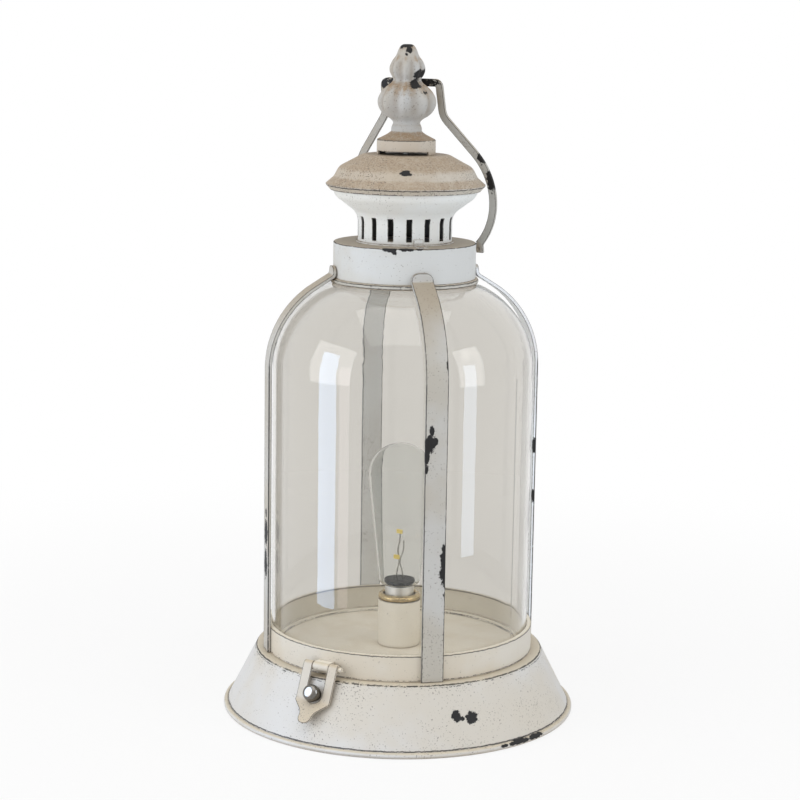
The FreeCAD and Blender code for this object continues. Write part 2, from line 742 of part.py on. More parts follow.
def vent_cap():
    """Small drum on the roof's crown with two vent slots cut in its foot."""
    body = new_body("vent_cap")
    revolve(body, [
        ("cap_radius", ROOF_TOP),
        ("cap_radius", CAP_TOP, "1"),
        ("stud_radius + stud_gap", CAP_TOP),
        ("stud_radius + stud_gap", f"{CAP_TOP} - sheet_wall"),
        ("cap_radius - sheet_wall", f"{CAP_TOP} - sheet_wall"),
        ("cap_radius - sheet_wall", ROOF_TOP),
    ], "cap_drum")
    sketch = new_sketch(body, "XZ_Plane", "vent_outline")
    block_outline(sketch, "cap_radius / 2", f"{ROOF_TOP} - 1", "cap_radius + 2", f"{ROOF_TOP} + vent_height")
    vent = body.newObject("PartDesign::Groove", "first_vent")
    vent.Profile = sketch
    vent.ReferenceAxis = (sketch, ["V_Axis"])
    vent.Angle = size("vent_angle")
    vent.setExpression("Angle", bound("vent_angle"))
    doc.recompute()
    pair = body.newObject("PartDesign::PolarPattern", "vents")
    pair.Originals = [vent]
    pair.Axis = (sketch, ["V_Axis"])
    pair.Angle = 360
    pair.Occurrences = 2
    body.Tip = pair
    body.Placement = Placement(Vector(0, 0, 0), Rotation(Vector(0, 0, 1), size("vent_turn - vent_angle / 2")))
    doc.recompute()
    return body


# Corners of the cast finial's rounded outline, from its foot up: radius, share of its height,
# rounding, and how far the ribs stand out there (0 not at all, 1 full).
FINIAL_LINE = [
    ("finial_foot_radius", 0, "0", 0),
    ("finial_stem_radius", 0.075, "finial_soft", 0),
    ("1.05 * finial_stem_radius", 0.122, "1.5 * finial_soft", 0),
    ("finial_neck_radius", 0.191, "finial_soft", 0),
    ("0.81 * finial_bulb_radius", 0.266, "2.5 * finial_soft", 1),
    ("finial_bulb_radius", 0.400, "finial_bulb_round", 1),
    ("0.775 * finial_bulb_radius", 0.525, "2 * finial_soft", 1),
    ("finial_waist_radius", 0.619, "0.8 * finial_soft", 0.2),
    ("0.9 * finial_bud_radius", 0.677, "2 * finial_soft", 0.7),
    ("finial_bud_radius", 0.745, "finial_bud_round", 0.7),
    ("0.85 * finial_bud_radius", 0.823, "1.5 * finial_soft", 0.7),
    ("finial_tip_radius", 0.861, "1.5 * finial_soft", 0),
    ("0.8 * finial_tip_radius", 0.942, "2 * finial_soft", 0),
    ("0.38 * finial_tip_radius", 1, "1.2 * finial_soft", 0),
]
FIRST_RIB, LAST_RIB = 3, 11


def finial_crest(share):
    """Radius to the ribs' crests at a share of the height, between two corners of the outline."""
    for (low_name, low, *rest), (high_name, high, *rest) in zip(FINIAL_LINE, FINIAL_LINE[1:]):
        if share <= high:
            return size(low_name) + (size(high_name) - size(low_name)) * (share - low) / (high - low)
    return 0


def finial():
    """Cast finial: flared foot, stem, ribbed bulb, waist, ribbed bud and a plain tip."""
    body = new_body("finial")
    core, crests = [], []
    for radius, share, bend, stands in FINIAL_LINE:
        level = f"{CAP_TOP} + {share} * finial_height"
        core.append((f"{radius} - {stands} * rib_height", level, bend))
        crests.append((radius, level, bend))
    bore, deep = "stud_radius + stud_gap", f"{CAP_TOP} + 0.18 * finial_height"
    tip = f"{CAP_TOP} + finial_height"
    revolve(body, [(bore, CAP_TOP)] + core + [("0", tip), ("0", deep), (bore, deep)], "finial_core")
    inside = "finial_neck_radius / 2"
    ends = [FINIAL_LINE[FIRST_RIB], FINIAL_LINE[LAST_RIB]]
    foot, head = ((f"{radius} - rib_height / 3", f"{CAP_TOP} + {share} * finial_height")
                  for radius, share, bend, stands in ends)
    rib = revolve(body, [(inside, foot[1]), foot] + crests[FIRST_RIB + 1:LAST_RIB] + [head, (inside, head[1])],
                  "finial_rib", size("rib_angle"))
    rib.setExpression("Angle", bound("rib_angle"))
    ribs = body.newObject("PartDesign::PolarPattern", "finial_ribs_pattern")
    ribs.Originals = [rib]
    ribs.Axis = (rib.Profile[0], ["V_Axis"])
    ribs.Angle = 360
    ribs.Occurrences = int(size("finial_ribs"))
    ribs.setExpression("Occurrences", bound("finial_ribs"))
    body.Tip = ribs
    body.Placement = Placement(Vector(0, 0, 0), Rotation(Vector(0, 0, 1), size("finial_turn - 90 - rib_angle / 2")))
    doc.recompute()
    return body


def finial_stud():
    """Threaded rod from the finial down through the vent cap and the roof."""
    drop = "nut_height + 2 + cap_height"
    made = cylinder("finial_rod", "stud_radius", f"{drop} + 0.17 * finial_height",
                    ("0", "0", f"{CAP_TOP} - ({drop})"))
    made.Label = "finial_stud"
    return made


def finial_nut():
    """Nut under the roof's crown."""
    nut = hex_prism("finial_nut_hex", "nut_width + 2", "nut_height", ("0", "0", f"{ROOF_TOP} - roof_wall - nut_height"))
    bore = cylinder("finial_nut_bore", "stud_radius + stud_gap", "30", ("0", "0", f"{ROOF_TOP} - 25"))
    return cut("finial_nut", nut, [bore])


# ---------------------------------------------------------------- rear hinge
def hinge_upper_leaf():
    """Leaf up the back of the ring, with the middle knuckle."""
    body = new_body("hinge_upper_leaf")
    side = new_sketch(body, "YZ_Plane", "upper_web")
    block_outline(side, "ring_radius - 1", f"{HINGE_LEVEL} - 0.8", HINGE_R, f"{HINGE_LEVEL} + hinge_barrel")
    pad(body, side, "hinge_middle", "upper_web_pad", both=True)
    leaf = new_sketch(body, "YZ_Plane", "upper_leaf")
    low = f"{HINGE_LEVEL} + hinge_barrel + hinge_gap"
    block_outline(leaf, "ring_radius - 1", low, "ring_radius + hinge_leaf", f"{HINGE_LEVEL} + hinge_rise_leaf")
    pad(body, leaf, "hinge_width", "upper_leaf_pad", both=True)
    join = new_sketch(body, "YZ_Plane", "upper_join")
    block_outline(join, "ring_radius - 1", f"{HINGE_LEVEL} + 1", "ring_radius + hinge_leaf", f"{low} + 1")
    pad(body, join, "hinge_middle", "upper_join_pad", both=True)
    barrel = new_sketch(body, "YZ_Plane", "upper_barrel")
    circle(barrel, HINGE_R, HINGE_LEVEL, "hinge_barrel")
    pad(body, barrel, "hinge_middle", "upper_barrel_pad", both=True)
    ring = cylinder("upper_leaf_seat", "ring_radius + strap_gap", "60", ("0", "0", f"{HINGE_LEVEL} - 20"))
    bore = cylinder("upper_leaf_bore", "hinge_pin + pin_gap", "hinge_width + 4",
                    ("-hinge_width / 2 - 2", HINGE_R, HINGE_LEVEL), ALONG_X)
    return cut("hinge_upper_leaf", body, [ring, bore])


def hinge_lower_leaf():
    """Leaf down the back of the skirt, with the two outer knuckles."""
    body = new_body("hinge_lower_leaf")
    off = "0.25"
    top, low = HINGE_LEVEL, f"({HINGE_LEVEL} - hinge_drop)"

    def face(level, out):
        return f"{RIM_CENTRE} - ({level} - {RIM_LEVEL}) * {SKIRT_SLOPE} + ({out}) * {SKIRT_RUN}"

    side = new_sketch(body, "YZ_Plane", "lower_leaf")
    draw(side, [(face(top, off), top), (face(low, off), low),
                (face(low, f"{off} + hinge_leaf"), low), (face(top, f"{off} + hinge_leaf"), top)])
    pad(body, side, "hinge_width", "lower_leaf_pad", both=True)
    barrel = new_sketch(body, "YZ_Plane", "lower_barrel")
    circle(barrel, HINGE_R, HINGE_LEVEL, "hinge_barrel")
    pad(body, barrel, "hinge_width", "lower_barrel_pad", both=True)
    middle = "(hinge_middle + 2 * hinge_gap)"
    room = box("lower_leaf_room", middle, "2 * hinge_barrel + 1.6", "2 * hinge_barrel + 2",
               (f"-{middle} / 2", f"{HINGE_R} - hinge_barrel - 0.8", f"{HINGE_LEVEL} - hinge_barrel - 0.5"))
    bore = cylinder("lower_leaf_bore", "hinge_pin + 0.02", "hinge_width + 4",
                    ("-hinge_width / 2 - 2", HINGE_R, HINGE_LEVEL), ALONG_X)
    return cut("hinge_lower_leaf", body, [room, bore])


def hinge_pin():
    made = cylinder("hinge_pin_rod", "hinge_pin", "hinge_width + 2",
                    ("-hinge_width / 2 - 1", HINGE_R, HINGE_LEVEL), ALONG_X)
    made.Label = "hinge_pin"
    return made


# ---------------------------------------------------------------- hasp
def hasp_lean():
    """Lean at which the plate's back is hasp_clear from the skirt where the tongue begins."""
    slope = math.radians(skirt_angle())
    out, up = size(f"{PIVOT_R} - {SHOULDER_RADIUS}"), size(f"{PIVOT_LEVEL} - deck_level")
    off_skirt = out * math.cos(slope) + up * math.sin(slope)
    back, length = size("hasp_barrel - hasp_thick"), size("hasp_length")
    lift = math.acos((size("hasp_clear") - off_skirt) / math.hypot(back, length)) - math.atan2(length, back)
    return math.degrees(slope - lift)


def hasp_hole_reach():
    """Distance from the pivot down the plate to the stud's axis."""
    lean, slope = math.radians(hasp_lean()), math.radians(skirt_angle())
    out = size(f"{BALL_R} - {PIVOT_R}")
    up = size(f"ball_level - {PIVOT_LEVEL}")
    middle = size("hasp_barrel - hasp_thick / 2")
    travel = (middle - (out * math.cos(lean) + up * math.sin(lean))) / math.cos(slope - lean)
    return out * math.sin(lean) - up * math.cos(lean) + travel * math.sin(lean - slope)


def latch_hasp():
    """Forked plate: two barrels on the pin, a slot round the ball stud, a tongue curved outward."""
    body = new_body("latch_hasp")
    face, back = "-hasp_barrel", "-(hasp_barrel - hasp_thick)"
    bend_x, bend_y = "hasp_tongue * sin(hasp_bend)", "hasp_tongue * cos(hasp_bend)"
    side = new_sketch(body, "YZ_Plane", "hasp_side")
    draw(side, [
        (back, "0"),
        (back, "-hasp_length", "hasp_bend_round + hasp_thick"),
        (f"{back} - {bend_x}", f"-hasp_length - {bend_y}"),
        (f"{back} - {bend_x} - hasp_thick * cos(hasp_bend)", f"-hasp_length - {bend_y} + hasp_thick * sin(hasp_bend)"),
        (face, "-hasp_length + hasp_thick * tan(hasp_bend / 2)", "hasp_bend_round"),
        (face, "0"),
    ])
    pad(body, side, "hasp_width", "hasp_plate", both=True)
    barrel = new_sketch(body, "YZ_Plane", "hasp_barrels")
    circle(barrel, "0", "0", "hasp_barrel")
    pad(body, barrel, "hasp_width", "hasp_barrel_pad", both=True)
    reach = f"({hasp_hole_reach():.4f})"
    fork = new_sketch(body, "XZ_Plane", "hasp_fork")
    draw(fork, [(f"-{HASP_SLOT}", "hasp_barrel + 1"),
                (f"-{HASP_SLOT}", f"-{reach} - {HASP_SLOT}", f"{HASP_SLOT} - 0.05"),
                (HASP_SLOT, f"-{reach} - {HASP_SLOT}", f"{HASP_SLOT} - 0.05"),
                (HASP_SLOT, "hasp_barrel + 1")])
    pocket(body, fork, "4 * hasp_length", "hasp_fork_cut", both=True)
    drop = f"(hasp_length + {bend_y})"
    below, beside = f"(-{drop} - 8)", "(hasp_width / 2 + 4)"
    for name, sign in (("left", "-"), ("right", "")):
        taper = new_sketch(body, "XZ_Plane", f"hasp_taper_{name}")
        draw(taper, [
            (f"{sign}hasp_width / 2", f"-({reach} + ball_radius)"),
            (f"{sign}hasp_tip / 2", f"-{drop} + 0.8 * hasp_tip", "hasp_waist_round"),
            (f"{sign}hasp_tip / 2", f"-{drop} + 0.6", "hasp_tip_round"),
            (f"{sign}0.3", f"-{drop} + 0.6"),
            (f"{sign}0.3", below),
            (f"{sign}{beside}", below),
            (f"{sign}{beside}", f"-({reach} + ball_radius)"),
        ])
        pocket(body, taper, "4 * hasp_length", f"hasp_taper_cut_{name}", both=True)
    bore = cylinder("hasp_bore", "pin_radius + pin_gap", "hasp_width + 4", ("-hasp_width / 2 - 2", "0", "0"), ALONG_X)
    made = cut("latch_hasp", body, [bore])
    made.Placement = Placement(Vector(0, 0, 0), Rotation(Vector(1, 0, 0), -hasp_lean()))
    made.setExpression("Placement.Base.y", bound(f"-{PIVOT_R}"))
    made.setExpression("Placement.Base.z", bound(PIVOT_LEVEL))
    doc.recompute()
    return made


def latch_lug():
    """Tab on the ring curled round the hasp's pin."""
    body = new_body("latch_lug")
    wide = f"2 * {HASP_SLOT} - 2 * lug_gap"
    web = new_sketch(body, "YZ_Plane", "lug_web")
    block_outline(web, f"-{PIVOT_R}", f"{PIVOT_LEVEL} + hasp_barrel - 1.6", "-ring_radius + 2", f"{PIVOT_LEVEL} + hasp_barrel")
    pad(body, web, wide, "lug_web_pad", both=True)
    barrel = new_sketch(body, "YZ_Plane", "lug_barrel")
    circle(barrel, f"-{PIVOT_R}", PIVOT_LEVEL, "hasp_barrel")
    pad(body, barrel, wide, "lug_barrel_pad", both=True)
    ring = cylinder("lug_seat", "ring_radius + strap_gap", "60", ("0", "0", f"{PIVOT_LEVEL} - 20"))
    bore = cylinder("lug_bore", "pin_radius + 0.02", "60", ("-30", f"-{PIVOT_R}", PIVOT_LEVEL), ALONG_X)
    return cut("latch_lug", body, [ring, bore])


def latch_pin():
    """Pin of the hasp, standing out at the right."""
    made = cylinder("latch_pin_rod", "pin_radius", "hasp_width + 3.4",
                    ("-hasp_width / 2 - 0.4", f"-{PIVOT_R}", PIVOT_LEVEL), ALONG_X)
    made.Label = "latch_pin"
    return made


# ---------------------------------------------------------------- bail
def bail_lean():
    """Forward lean at which the grip rests against the back of the finial."""
    lower_edge = size("bail_grip_rise - bail_width / 2")
    lean = 0
    for step in range(12):
        rise = lower_edge * math.cos(lean) + size(BAIL_LEVEL) - size(CAP_TOP)
        reach = finial_crest(rise / size("finial_height")) + size("bail_rest_gap + bail_thick / 2")
        lean = math.asin((size(BAIL_PIVOT_R) - reach) / lower_edge)
    return math.degrees(lean)


def bail_handle():
    """Flat bar bent on edge, with two round ends turned in to hook into the collar."""
    body = new_body("bail_handle")
    leg = "(collar_radius * sin(bail_turn) + bail_side_gap + bail_width / 2)"
    half = [(leg, "-bail_width / 2"),
            (leg, "0.8 * bail_width", "bail_width"),
            ("bail_belly", "bail_belly_rise", "bail_belly_round"),
            ("bail_neck", "bail_neck_rise", "bail_neck_round"),
            ("bail_grip", "bail_grip_rise", "bail_grip_round")]
    right, left = [], []
    for x, z, *bend in half:
        shift = "bail_grip_shift" if x in ("bail_neck", "bail_grip") else "0"
        right.append((f"{x} + {shift}", z, *bend))
        left.append((f"-{x} + {shift}", z, *bend))
    path = new_sketch(body, "XZ_Plane", "bail_path")
    draw(path, right + left[::-1], closed=False)
    section = new_sketch(body, "XY_Plane", "bail_section", "-bail_width / 2")
    block_outline(section, f"{leg} - bail_width / 2", "-bail_thick / 2", f"{leg} + bail_width / 2", "bail_thick / 2")
    doc.recompute()
    made = body.newObject("PartDesign::AdditivePipe", "bail_bar")
    made.Profile = section
    made.Spine = (path, [])
    doc.recompute()
    inward = "(bail_side_gap + bail_width / 2 + 4.5)"
    pins = [cylinder("bail_pin_right", "bail_pin_radius", inward,
                     (f"{leg} - {inward}", "0", "0"), ALONG_X),
            cylinder("bail_pin_left", "bail_pin_radius", inward, (f"-{leg}", "0", "0"), ALONG_X)]
    body.Label = "bail_bar_blank"
    whole = joined("bail_handle", [body] + pins)
    whole.Placement = Placement(Vector(0, 0, 0), Rotation(Vector(1, 0, 0), bail_lean()))
    whole.setExpression("Placement.Base.y", bound(BAIL_PIVOT_R))
    whole.setExpression("Placement.Base.z", bound(BAIL_LEVEL))
    doc.recompute()
    return whole


# ---------------------------------------------------------------- lamp holder and bulb
def socket_cup():
    """Cup that stands on the deck round the lamp holder."""
    return turned("socket_cup", [
        ("nipple_radius + nipple_gap", "deck_level"),
        ("cup_radius", "deck_level", "1.2"),
        ("cup_radius", CUP_TOP),
        ("cup_radius - cup_wall", CUP_TOP),
        ("cup_radius - cup_wall", "deck_level + cup_wall"),
        ("nipple_radius + nipple_gap", "deck_level + cup_wall"),
    ])


def socket_collet():
    """Brass ring rolled over the mouth of the cup."""
    top = f"({CUP_TOP} + collet_height)"
    bore = "(bulb_cap_radius + bulb_pin_reach + 0.4)"
    return turned("socket_collet", [
        (bore, f"{CUP_TOP} + 0.02"),
        ("cup_radius + 0.1", f"{CUP_TOP} + 0.02", "collet_roll"),
        ("cup_radius + 0.1", top, "collet_roll"),
        (bore, top, "0.8"),
    ])


def holder_sleeve():
    """Bayonet sleeve: two slots down its wall that turn sideways for the cap's pins."""
    body = new_body("holder_sleeve")
    foot = "(deck_level + holder_foot)"
    top = f"({CUP_TOP} - 0.3)"
    revolve(body, [
        (SLEEVE_BORE, foot),
        (f"{SLEEVE_BORE} + holder_wall", foot),
        (f"{SLEEVE_BORE} + holder_wall", top),
        (SLEEVE_BORE, top),
    ], "sleeve_tube")
    level = f"({BULB_FOOT} + bulb_pin_rise)"
    room = "(bulb_pin_radius + 0.3)"
    track = new_sketch(body, "XZ_Plane", "bayonet_track")
    block_outline(track, f"{SLEEVE_BORE} - 1", f"{level} - {room}", f"{SLEEVE_BORE} + holder_wall + 1", f"{level} + {room}")
    slot = body.newObject("PartDesign::Groove", "bayonet_slot")
    slot.Profile = track
    slot.ReferenceAxis = (track, ["V_Axis"])
    slot.Angle = size("bulb_turn + 14")
    slot.setExpression("Angle", bound("bulb_turn + 14"))
    doc.recompute()
    way_in = new_sketch(body, "XY_Plane", "bayonet_way_in", top)
    angle = "(7 + bulb_turn)"
    along, across = (f"cos({angle})", f"sin({angle})"), (f"-sin({angle})", f"cos({angle})")
    near, far = f"({SLEEVE_BORE} - 1)", f"({SLEEVE_BORE} + holder_wall + 1)"
    draw(way_in, [tuple(f"{reach} * ({along[axis]}) + ({side}{room}) * ({across[axis]})" for axis in (0, 1))
                  for reach, side in ((near, "-"), (far, "-"), (far, ""), (near, ""))])
    door = pocket(body, way_in, f"{top} - {level}", "bayonet_way_in_cut")
    pair = body.newObject("PartDesign::PolarPattern", "bayonet_slots")
    pair.Originals = [slot, door]
    pair.Axis = (track, ["V_Axis"])
    pair.Angle = 360
    pair.Occurrences = 2
    body.Tip = pair
    doc.recompute()
    return body


def holder_base():
    """Moulded floor of the holder, screwed on the nipple."""
    return turned("holder_base", [
        ("nipple_radius + 0.02", "deck_level + cup_wall + 0.1"),
        (f"{SLEEVE_BORE} + holder_wall + 1.2", "deck_level + cup_wall + 0.1"),
        (f"{SLEEVE_BORE} + holder_wall + 1.2", "deck_level + holder_foot - 0.1"),
        (f"{SLEEVE_BORE} - 1.5", "deck_level + holder_foot - 0.1"),
        (f"{SLEEVE_BORE} - 1.5", "deck_level + cup_wall + 3.2"),
        ("nipple_radius + 0.02", "deck_level + cup_wall + 3.2"),
    ])


def holder_plungers():
    """Two sprung contact plungers that press on the cap's solder pads."""
    pieces = []
    for number, side in enumerate(("-", "")):
        pieces.append(cylinder(f"plunger_{number}", "1.4", f"{BULB_FOOT} - deck_level - cup_wall - 3.6",
                               (f"{side}6.6", "0", "deck_level + cup_wall + 3.3")))
    return group_of("holder_plungers", pieces)


def socket_nipple():
    """Threaded tube through the cup and the deck that carries the leads."""
    made = turned("socket_nipple", [
        ("nipple_bore", "deck_level - sheet_wall - nipple_below"),
        ("nipple_radius", "deck_level - sheet_wall - nipple_below"),
        ("nipple_radius", "deck_level + nipple_above"),
        ("nipple_bore", "deck_level + nipple_above"),
    ])
    return made


def nipple_nut():
    nut = hex_prism("nipple_nut_hex", "nut_width + 6", "nut_height - 1",
                    ("0", "0", "deck_level - sheet_wall - box_gap - box_wall - nut_height + 0.8"))
    bore = cylinder("nipple_nut_bore", "nipple_radius + 0.02", "30", ("0", "0", "deck_level - 25"))
    return cut("nipple_nut", nut, [bore])


def bulb_glass():
    """Long clear envelope, widest below its crown, drawn in at the neck."""
    top = f"({BULB_FOOT} + bulb_height)"
    low = f"({BULB_FOOT} + bulb_cap_height - 0.6)"
    return turned("bulb_glass", [
        ("0", top),
        ("bulb_shoulder", top, BULB_CROWN),
        ("bulb_neck_radius", BULB_NECK, "4"),
        ("bulb_cap_radius - 0.9", f"{low} + 0.8"),
        ("bulb_cap_radius - 0.9", f"{low} - 1"),
        ("bulb_cap_radius - 0.9 - bulb_wall", f"{low} - 1"),
        ("bulb_cap_radius - 0.9 - bulb_wall", f"{low} + 1.2"),
        ("bulb_neck_radius - bulb_wall", f"{BULB_NECK} + 0.5", "4 - bulb_wall"),
        ("bulb_shoulder - bulb_wall", f"{top} - bulb_wall", f"{BULB_CROWN} - bulb_wall"),
        ("0", f"{top} - bulb_wall"),
    ])


def bulb_cap():
    """Bright bayonet cap with a pin each side."""
    body = new_body("bulb_cap")
    top = f"({BULB_FOOT} + bulb_cap_height)"
    revolve(body, [
        ("0", BULB_FOOT),
        ("bulb_cap_radius", BULB_FOOT, "1.2"),
        ("bulb_cap_radius", top, "0.4"),
        ("bulb_cap_radius - 0.8", top),
        ("bulb_cap_radius - 0.8", f"{BULB_FOOT} + 3"),
        ("0", f"{BULB_FOOT} + 3"),
    ], "cap_shell")
    body.Label = "bulb_cap_blank"
    reach = "(bulb_cap_radius + bulb_pin_reach)"
    turn = 7
    pins = []
    for number, angle in enumerate((turn, turn + 180)):
        place = Rotation(Vector(0, 0, 1), angle)
        pin = doc.addObject("Part::Cylinder", f"bayonet_pin_{number}")
        pin.setExpression("Radius", bound("bulb_pin_radius"))
        pin.setExpression("Height", bound("bulb_pin_reach + 0.5"))
        start = place.multVec(Vector(1, 0, 0))
        pin.Placement = Placement(Vector(0, 0, 0), place.multiply(Rotation(Vector(0, 1, 0), 90)))
        pin.setExpression("Placement.Base.x", bound(f"(bulb_cap_radius - 0.5) * {start.x:.6f}"))
        pin.setExpression("Placement.Base.y", bound(f"(bulb_cap_radius - 0.5) * {start.y:.6f}"))
        pin.setExpression("Placement.Base.z", bound(f"{BULB_FOOT} + bulb_pin_rise"))
        pins.append(pin)
    doc.recompute()
    return joined("bulb_cap", [body] + pins)


# Spots along the leads, as shares of lead_spread sideways and of lead_rise above the disc.
LEAD_FEET = ((-1, 0.2), (1, -0.2))
LEAD_LEFT = ((-1, 0.2, 0.13), (-0.4, 0.53, 0.34), (-0.8, 0.13, 0.58), (0.27, -0.4, 0.82), (0.13, -0.33, 1))
LEAD_RIGHT = ((1, -0.2, 0.16), (0.2, -0.67, 0.37), (1, 0.2, 0.6), (0.87, 0.33, 0.79))
CHIPS = ((-0.53, -1, 0.947), (-1.2, -1.13, 0.421))


def bulb_disc():
    """Dark disc on a stem from the cap's floor, for the two lead wires."""
    foot = f"({DISC_TOP} - bulb_disc_thick)"
    floor = f"{BULB_FOOT} + 3"
    body = turned("bulb_disc", [("0", floor), ("5", floor), ("5", foot), ("bulb_cap_radius + 0.6", foot),
                                ("bulb_cap_radius + 0.6", DISC_TOP), ("0", DISC_TOP)])
    holes = [cylinder(f"disc_hole_{number}", "lead_radius + lead_gap", "lead_sink + 2",
                      (f"{x} * lead_spread", f"{y} * lead_spread", f"{DISC_TOP} - lead_sink - 1"))
             for number, (x, y) in enumerate(LEAD_FEET)]
    return cut("bulb_disc", body, holes)


def wire_along(label, points, radius):
    """A round wire through the points, its corners turned with the largest arcs that fit."""
    edges = []
    last = points[0]
    for i in range(1, len(points) - 1):
        back, ahead = points[i - 1] - points[i], points[i + 1] - points[i]
        half = back.getAngle(ahead) / 2
        run = 0.45 * min(back.Length, ahead.Length)
        bend = run * math.tan(half)
        back.normalize()
        ahead.normalize()
        start, end = points[i] + back * run, points[i] + ahead * run
        middle = (back + ahead).normalize()
        touch = points[i] + middle * (bend / math.sin(half) - bend)
        edges.append(Part.LineSegment(last, start).toShape())
        edges.append(Part.Arc(start, touch, end).toShape())
        last = end
    edges.append(Part.LineSegment(last, points[-1]).toShape())
    path = Part.Wire(edges)
    profile = Part.Wire([Part.Circle(points[0], points[1] - points[0], radius).toShape()])
    shape = path.makePipeShell([profile], True, False)
    made = doc.addObject("Part::Feature", label + "_wire")
    made.Shape = shape
    made.Placement = Placement()
    made.Label = label
    return made


def bulb_leads():
    """Two bent lead wires that carry the light-emitting chips."""
    foot, spread, rise = size(DISC_TOP), size("lead_spread"), size("lead_rise")
    made = []
    for label, (x, y), spots in (("lead_left", LEAD_FEET[0], LEAD_LEFT), ("lead_right", LEAD_FEET[1], LEAD_RIGHT)):
        points = [Vector(x * spread, y * spread, foot - size("lead_sink"))]
        points += [Vector(a * spread, b * spread, foot + c * rise) for a, b, c in spots]
        made.append(wire_along(label, points, size("lead_radius")))
    return group_of("bulb_leads", made)


def bulb_chips():
    """Two small yellow chips on the wires."""
    pieces = []
    for number, (x, y, z) in enumerate(CHIPS):
        pieces.append(box(f"chip_{number}", "chip_width", "chip_thick", "chip_height",
                          (f"{x} * lead_spread", f"{y} * lead_spread", f"{DISC_TOP} + {z} * lead_rise")))
    return group_of("bulb_chips", pieces)


# ---------------------------------------------------------------- battery box
BOX_TOP = "(deck_level - sheet_wall - box_gap)"
BAY_TOP = "(box_foot + bay_height)"


def battery_box():
    """Moulded box under the deck: cell bay below, board bay above, rails for its door."""
    body = new_body("battery_box")
    outline = new_sketch(body, "XY_Plane", "box_outline", "box_foot")
    half_x, half_y = "box_length / 2", "box_depth / 2"
    draw(outline, [(f"-{half_x}", f"-{half_y}", "4"), (half_x, f"-{half_y}", "4"),
                   (half_x, half_y, "4"), (f"-{half_x}", half_y, "4")])
    pad(body, outline, f"{BOX_TOP} - box_foot", "box_block")
    bay = new_sketch(body, "XY_Plane", "cell_bay", "box_foot")
    low_y = "(bay_offset - bay_width / 2)"
    high_y = "(bay_offset + bay_width / 2)"
    block_outline(bay, "-bay_length / 2", low_y, "bay_length / 2", high_y)
    pocket(body, bay, "bay_height", "cell_bay_cut", back=True)
    board = new_sketch(body, "XY_Plane", "board_bay", f"{BAY_TOP} + box_wall")
    block_outline(board, "-box_length / 2 + box_wall", "-box_depth / 2 + box_wall",
                  "box_length / 2 - box_wall", "box_depth / 2 - box_wall")
    pocket(body, board, f"{BOX_TOP} - box_wall - {BAY_TOP} - box_wall", "board_bay_cut", back=True)
    switch = new_sketch(body, "XY_Plane", "switch_bay", "box_foot + box_wall")
    block_outline(switch, "-12", "-box_depth / 2 + box_wall", "12", f"{low_y} - box_wall")
    pocket(body, switch, f"{BAY_TOP} - box_foot", "switch_bay_cut", back=True)
    mouth = new_sketch(body, "XY_Plane", "switch_mouth", "box_foot")
    block_outline(mouth, "-switch_knob / 2 - switch_travel - 0.3", "-box_depth / 2 + box_wall + 0.9",
                  "switch_knob / 2 + 0.3", f"{low_y} - box_wall - 0.6")
    pocket(body, mouth, "2 * box_wall", "switch_mouth_cut", back=True)
    neck = new_sketch(body, "XY_Plane", "nipple_hole", BOX_TOP)
    circle(neck, "0", "0", "nipple_radius + nipple_gap")
    pocket(body, neck, "2 * box_wall", "nipple_hole_cut")
    rails = new_sketch(body, "YZ_Plane", "rails")
    for sign, edge in (("-", f"({low_y} - door_gap)"), ("", f"({high_y} + door_gap)")):
        inner = f"({edge} {'+' if sign else '-'} door_lip)"
        outer = f"({edge} {'-' if sign else '+'} box_wall)"
        drop = "(box_foot - door_thick - 2 * door_gap)"
        draw(rails, [(outer, "box_foot + 0.5"), (outer, f"{drop} - 1.2"), (inner, f"{drop} - 1.2"),
                     (inner, drop), (edge, drop), (edge, "box_foot + 0.5")])
    pad(body, rails, "bay_length + 4", "door_rails", both=True)
    return body


def battery_door():
    """Sliding door over the cells, with a ridged thumb rest."""
    body = new_body("battery_door")
    low_y = "(bay_offset - bay_width / 2)"
    high_y = "(bay_offset + bay_width / 2)"
    plate = new_sketch(body, "XY_Plane", "door_plate", "box_foot - door_gap")
    block_outline(plate, "-bay_length / 2 - 2", low_y, "bay_length / 2 + 2", high_y)
    pad(body, plate, "door_thick", "door_plate_pad", back=True)
    ridges = new_sketch(body, "XY_Plane", "door_ridges", "box_foot - door_gap - door_thick")
    for number in range(4):
        x = f"bay_length / 2 - {4 + 3 * number}"
        block_outline(ridges, x, f"{low_y} + 14", f"{x} + 1.4", f"{high_y} - 14")
    pad(body, ridges, "0.8", "door_ridge_pad", back=True)
    return body


def battery_cell(label, row):
    """Round cell with its raised contact; neighbours lie head to tail."""
    body = turned(label, [
        ("0", "0"), ("cell_radius", "0", "0.8"), ("cell_radius", "cell_length - 1.4", "0.8"),
        ("2.7", "cell_length - 1.4"), ("2.7", "cell_length"), ("0", "cell_length"),
    ])
    way = 1 if row % 2 == 0 else -1
    body.Placement = Placement(Vector(0, 0, 0), Rotation(Vector(0, 1, 0), 90 * way))
    body.setExpression("Placement.Base.x", bound(f"{-way} * cell_length / 2"))
    body.setExpression("Placement.Base.y", bound(f"bay_offset + {row - 1} * (2 * cell_radius + cell_gap)"))
    body.setExpression("Placement.Base.z", bound("box_foot + cell_gap + cell_radius"))
    doc.recompute()
    return body


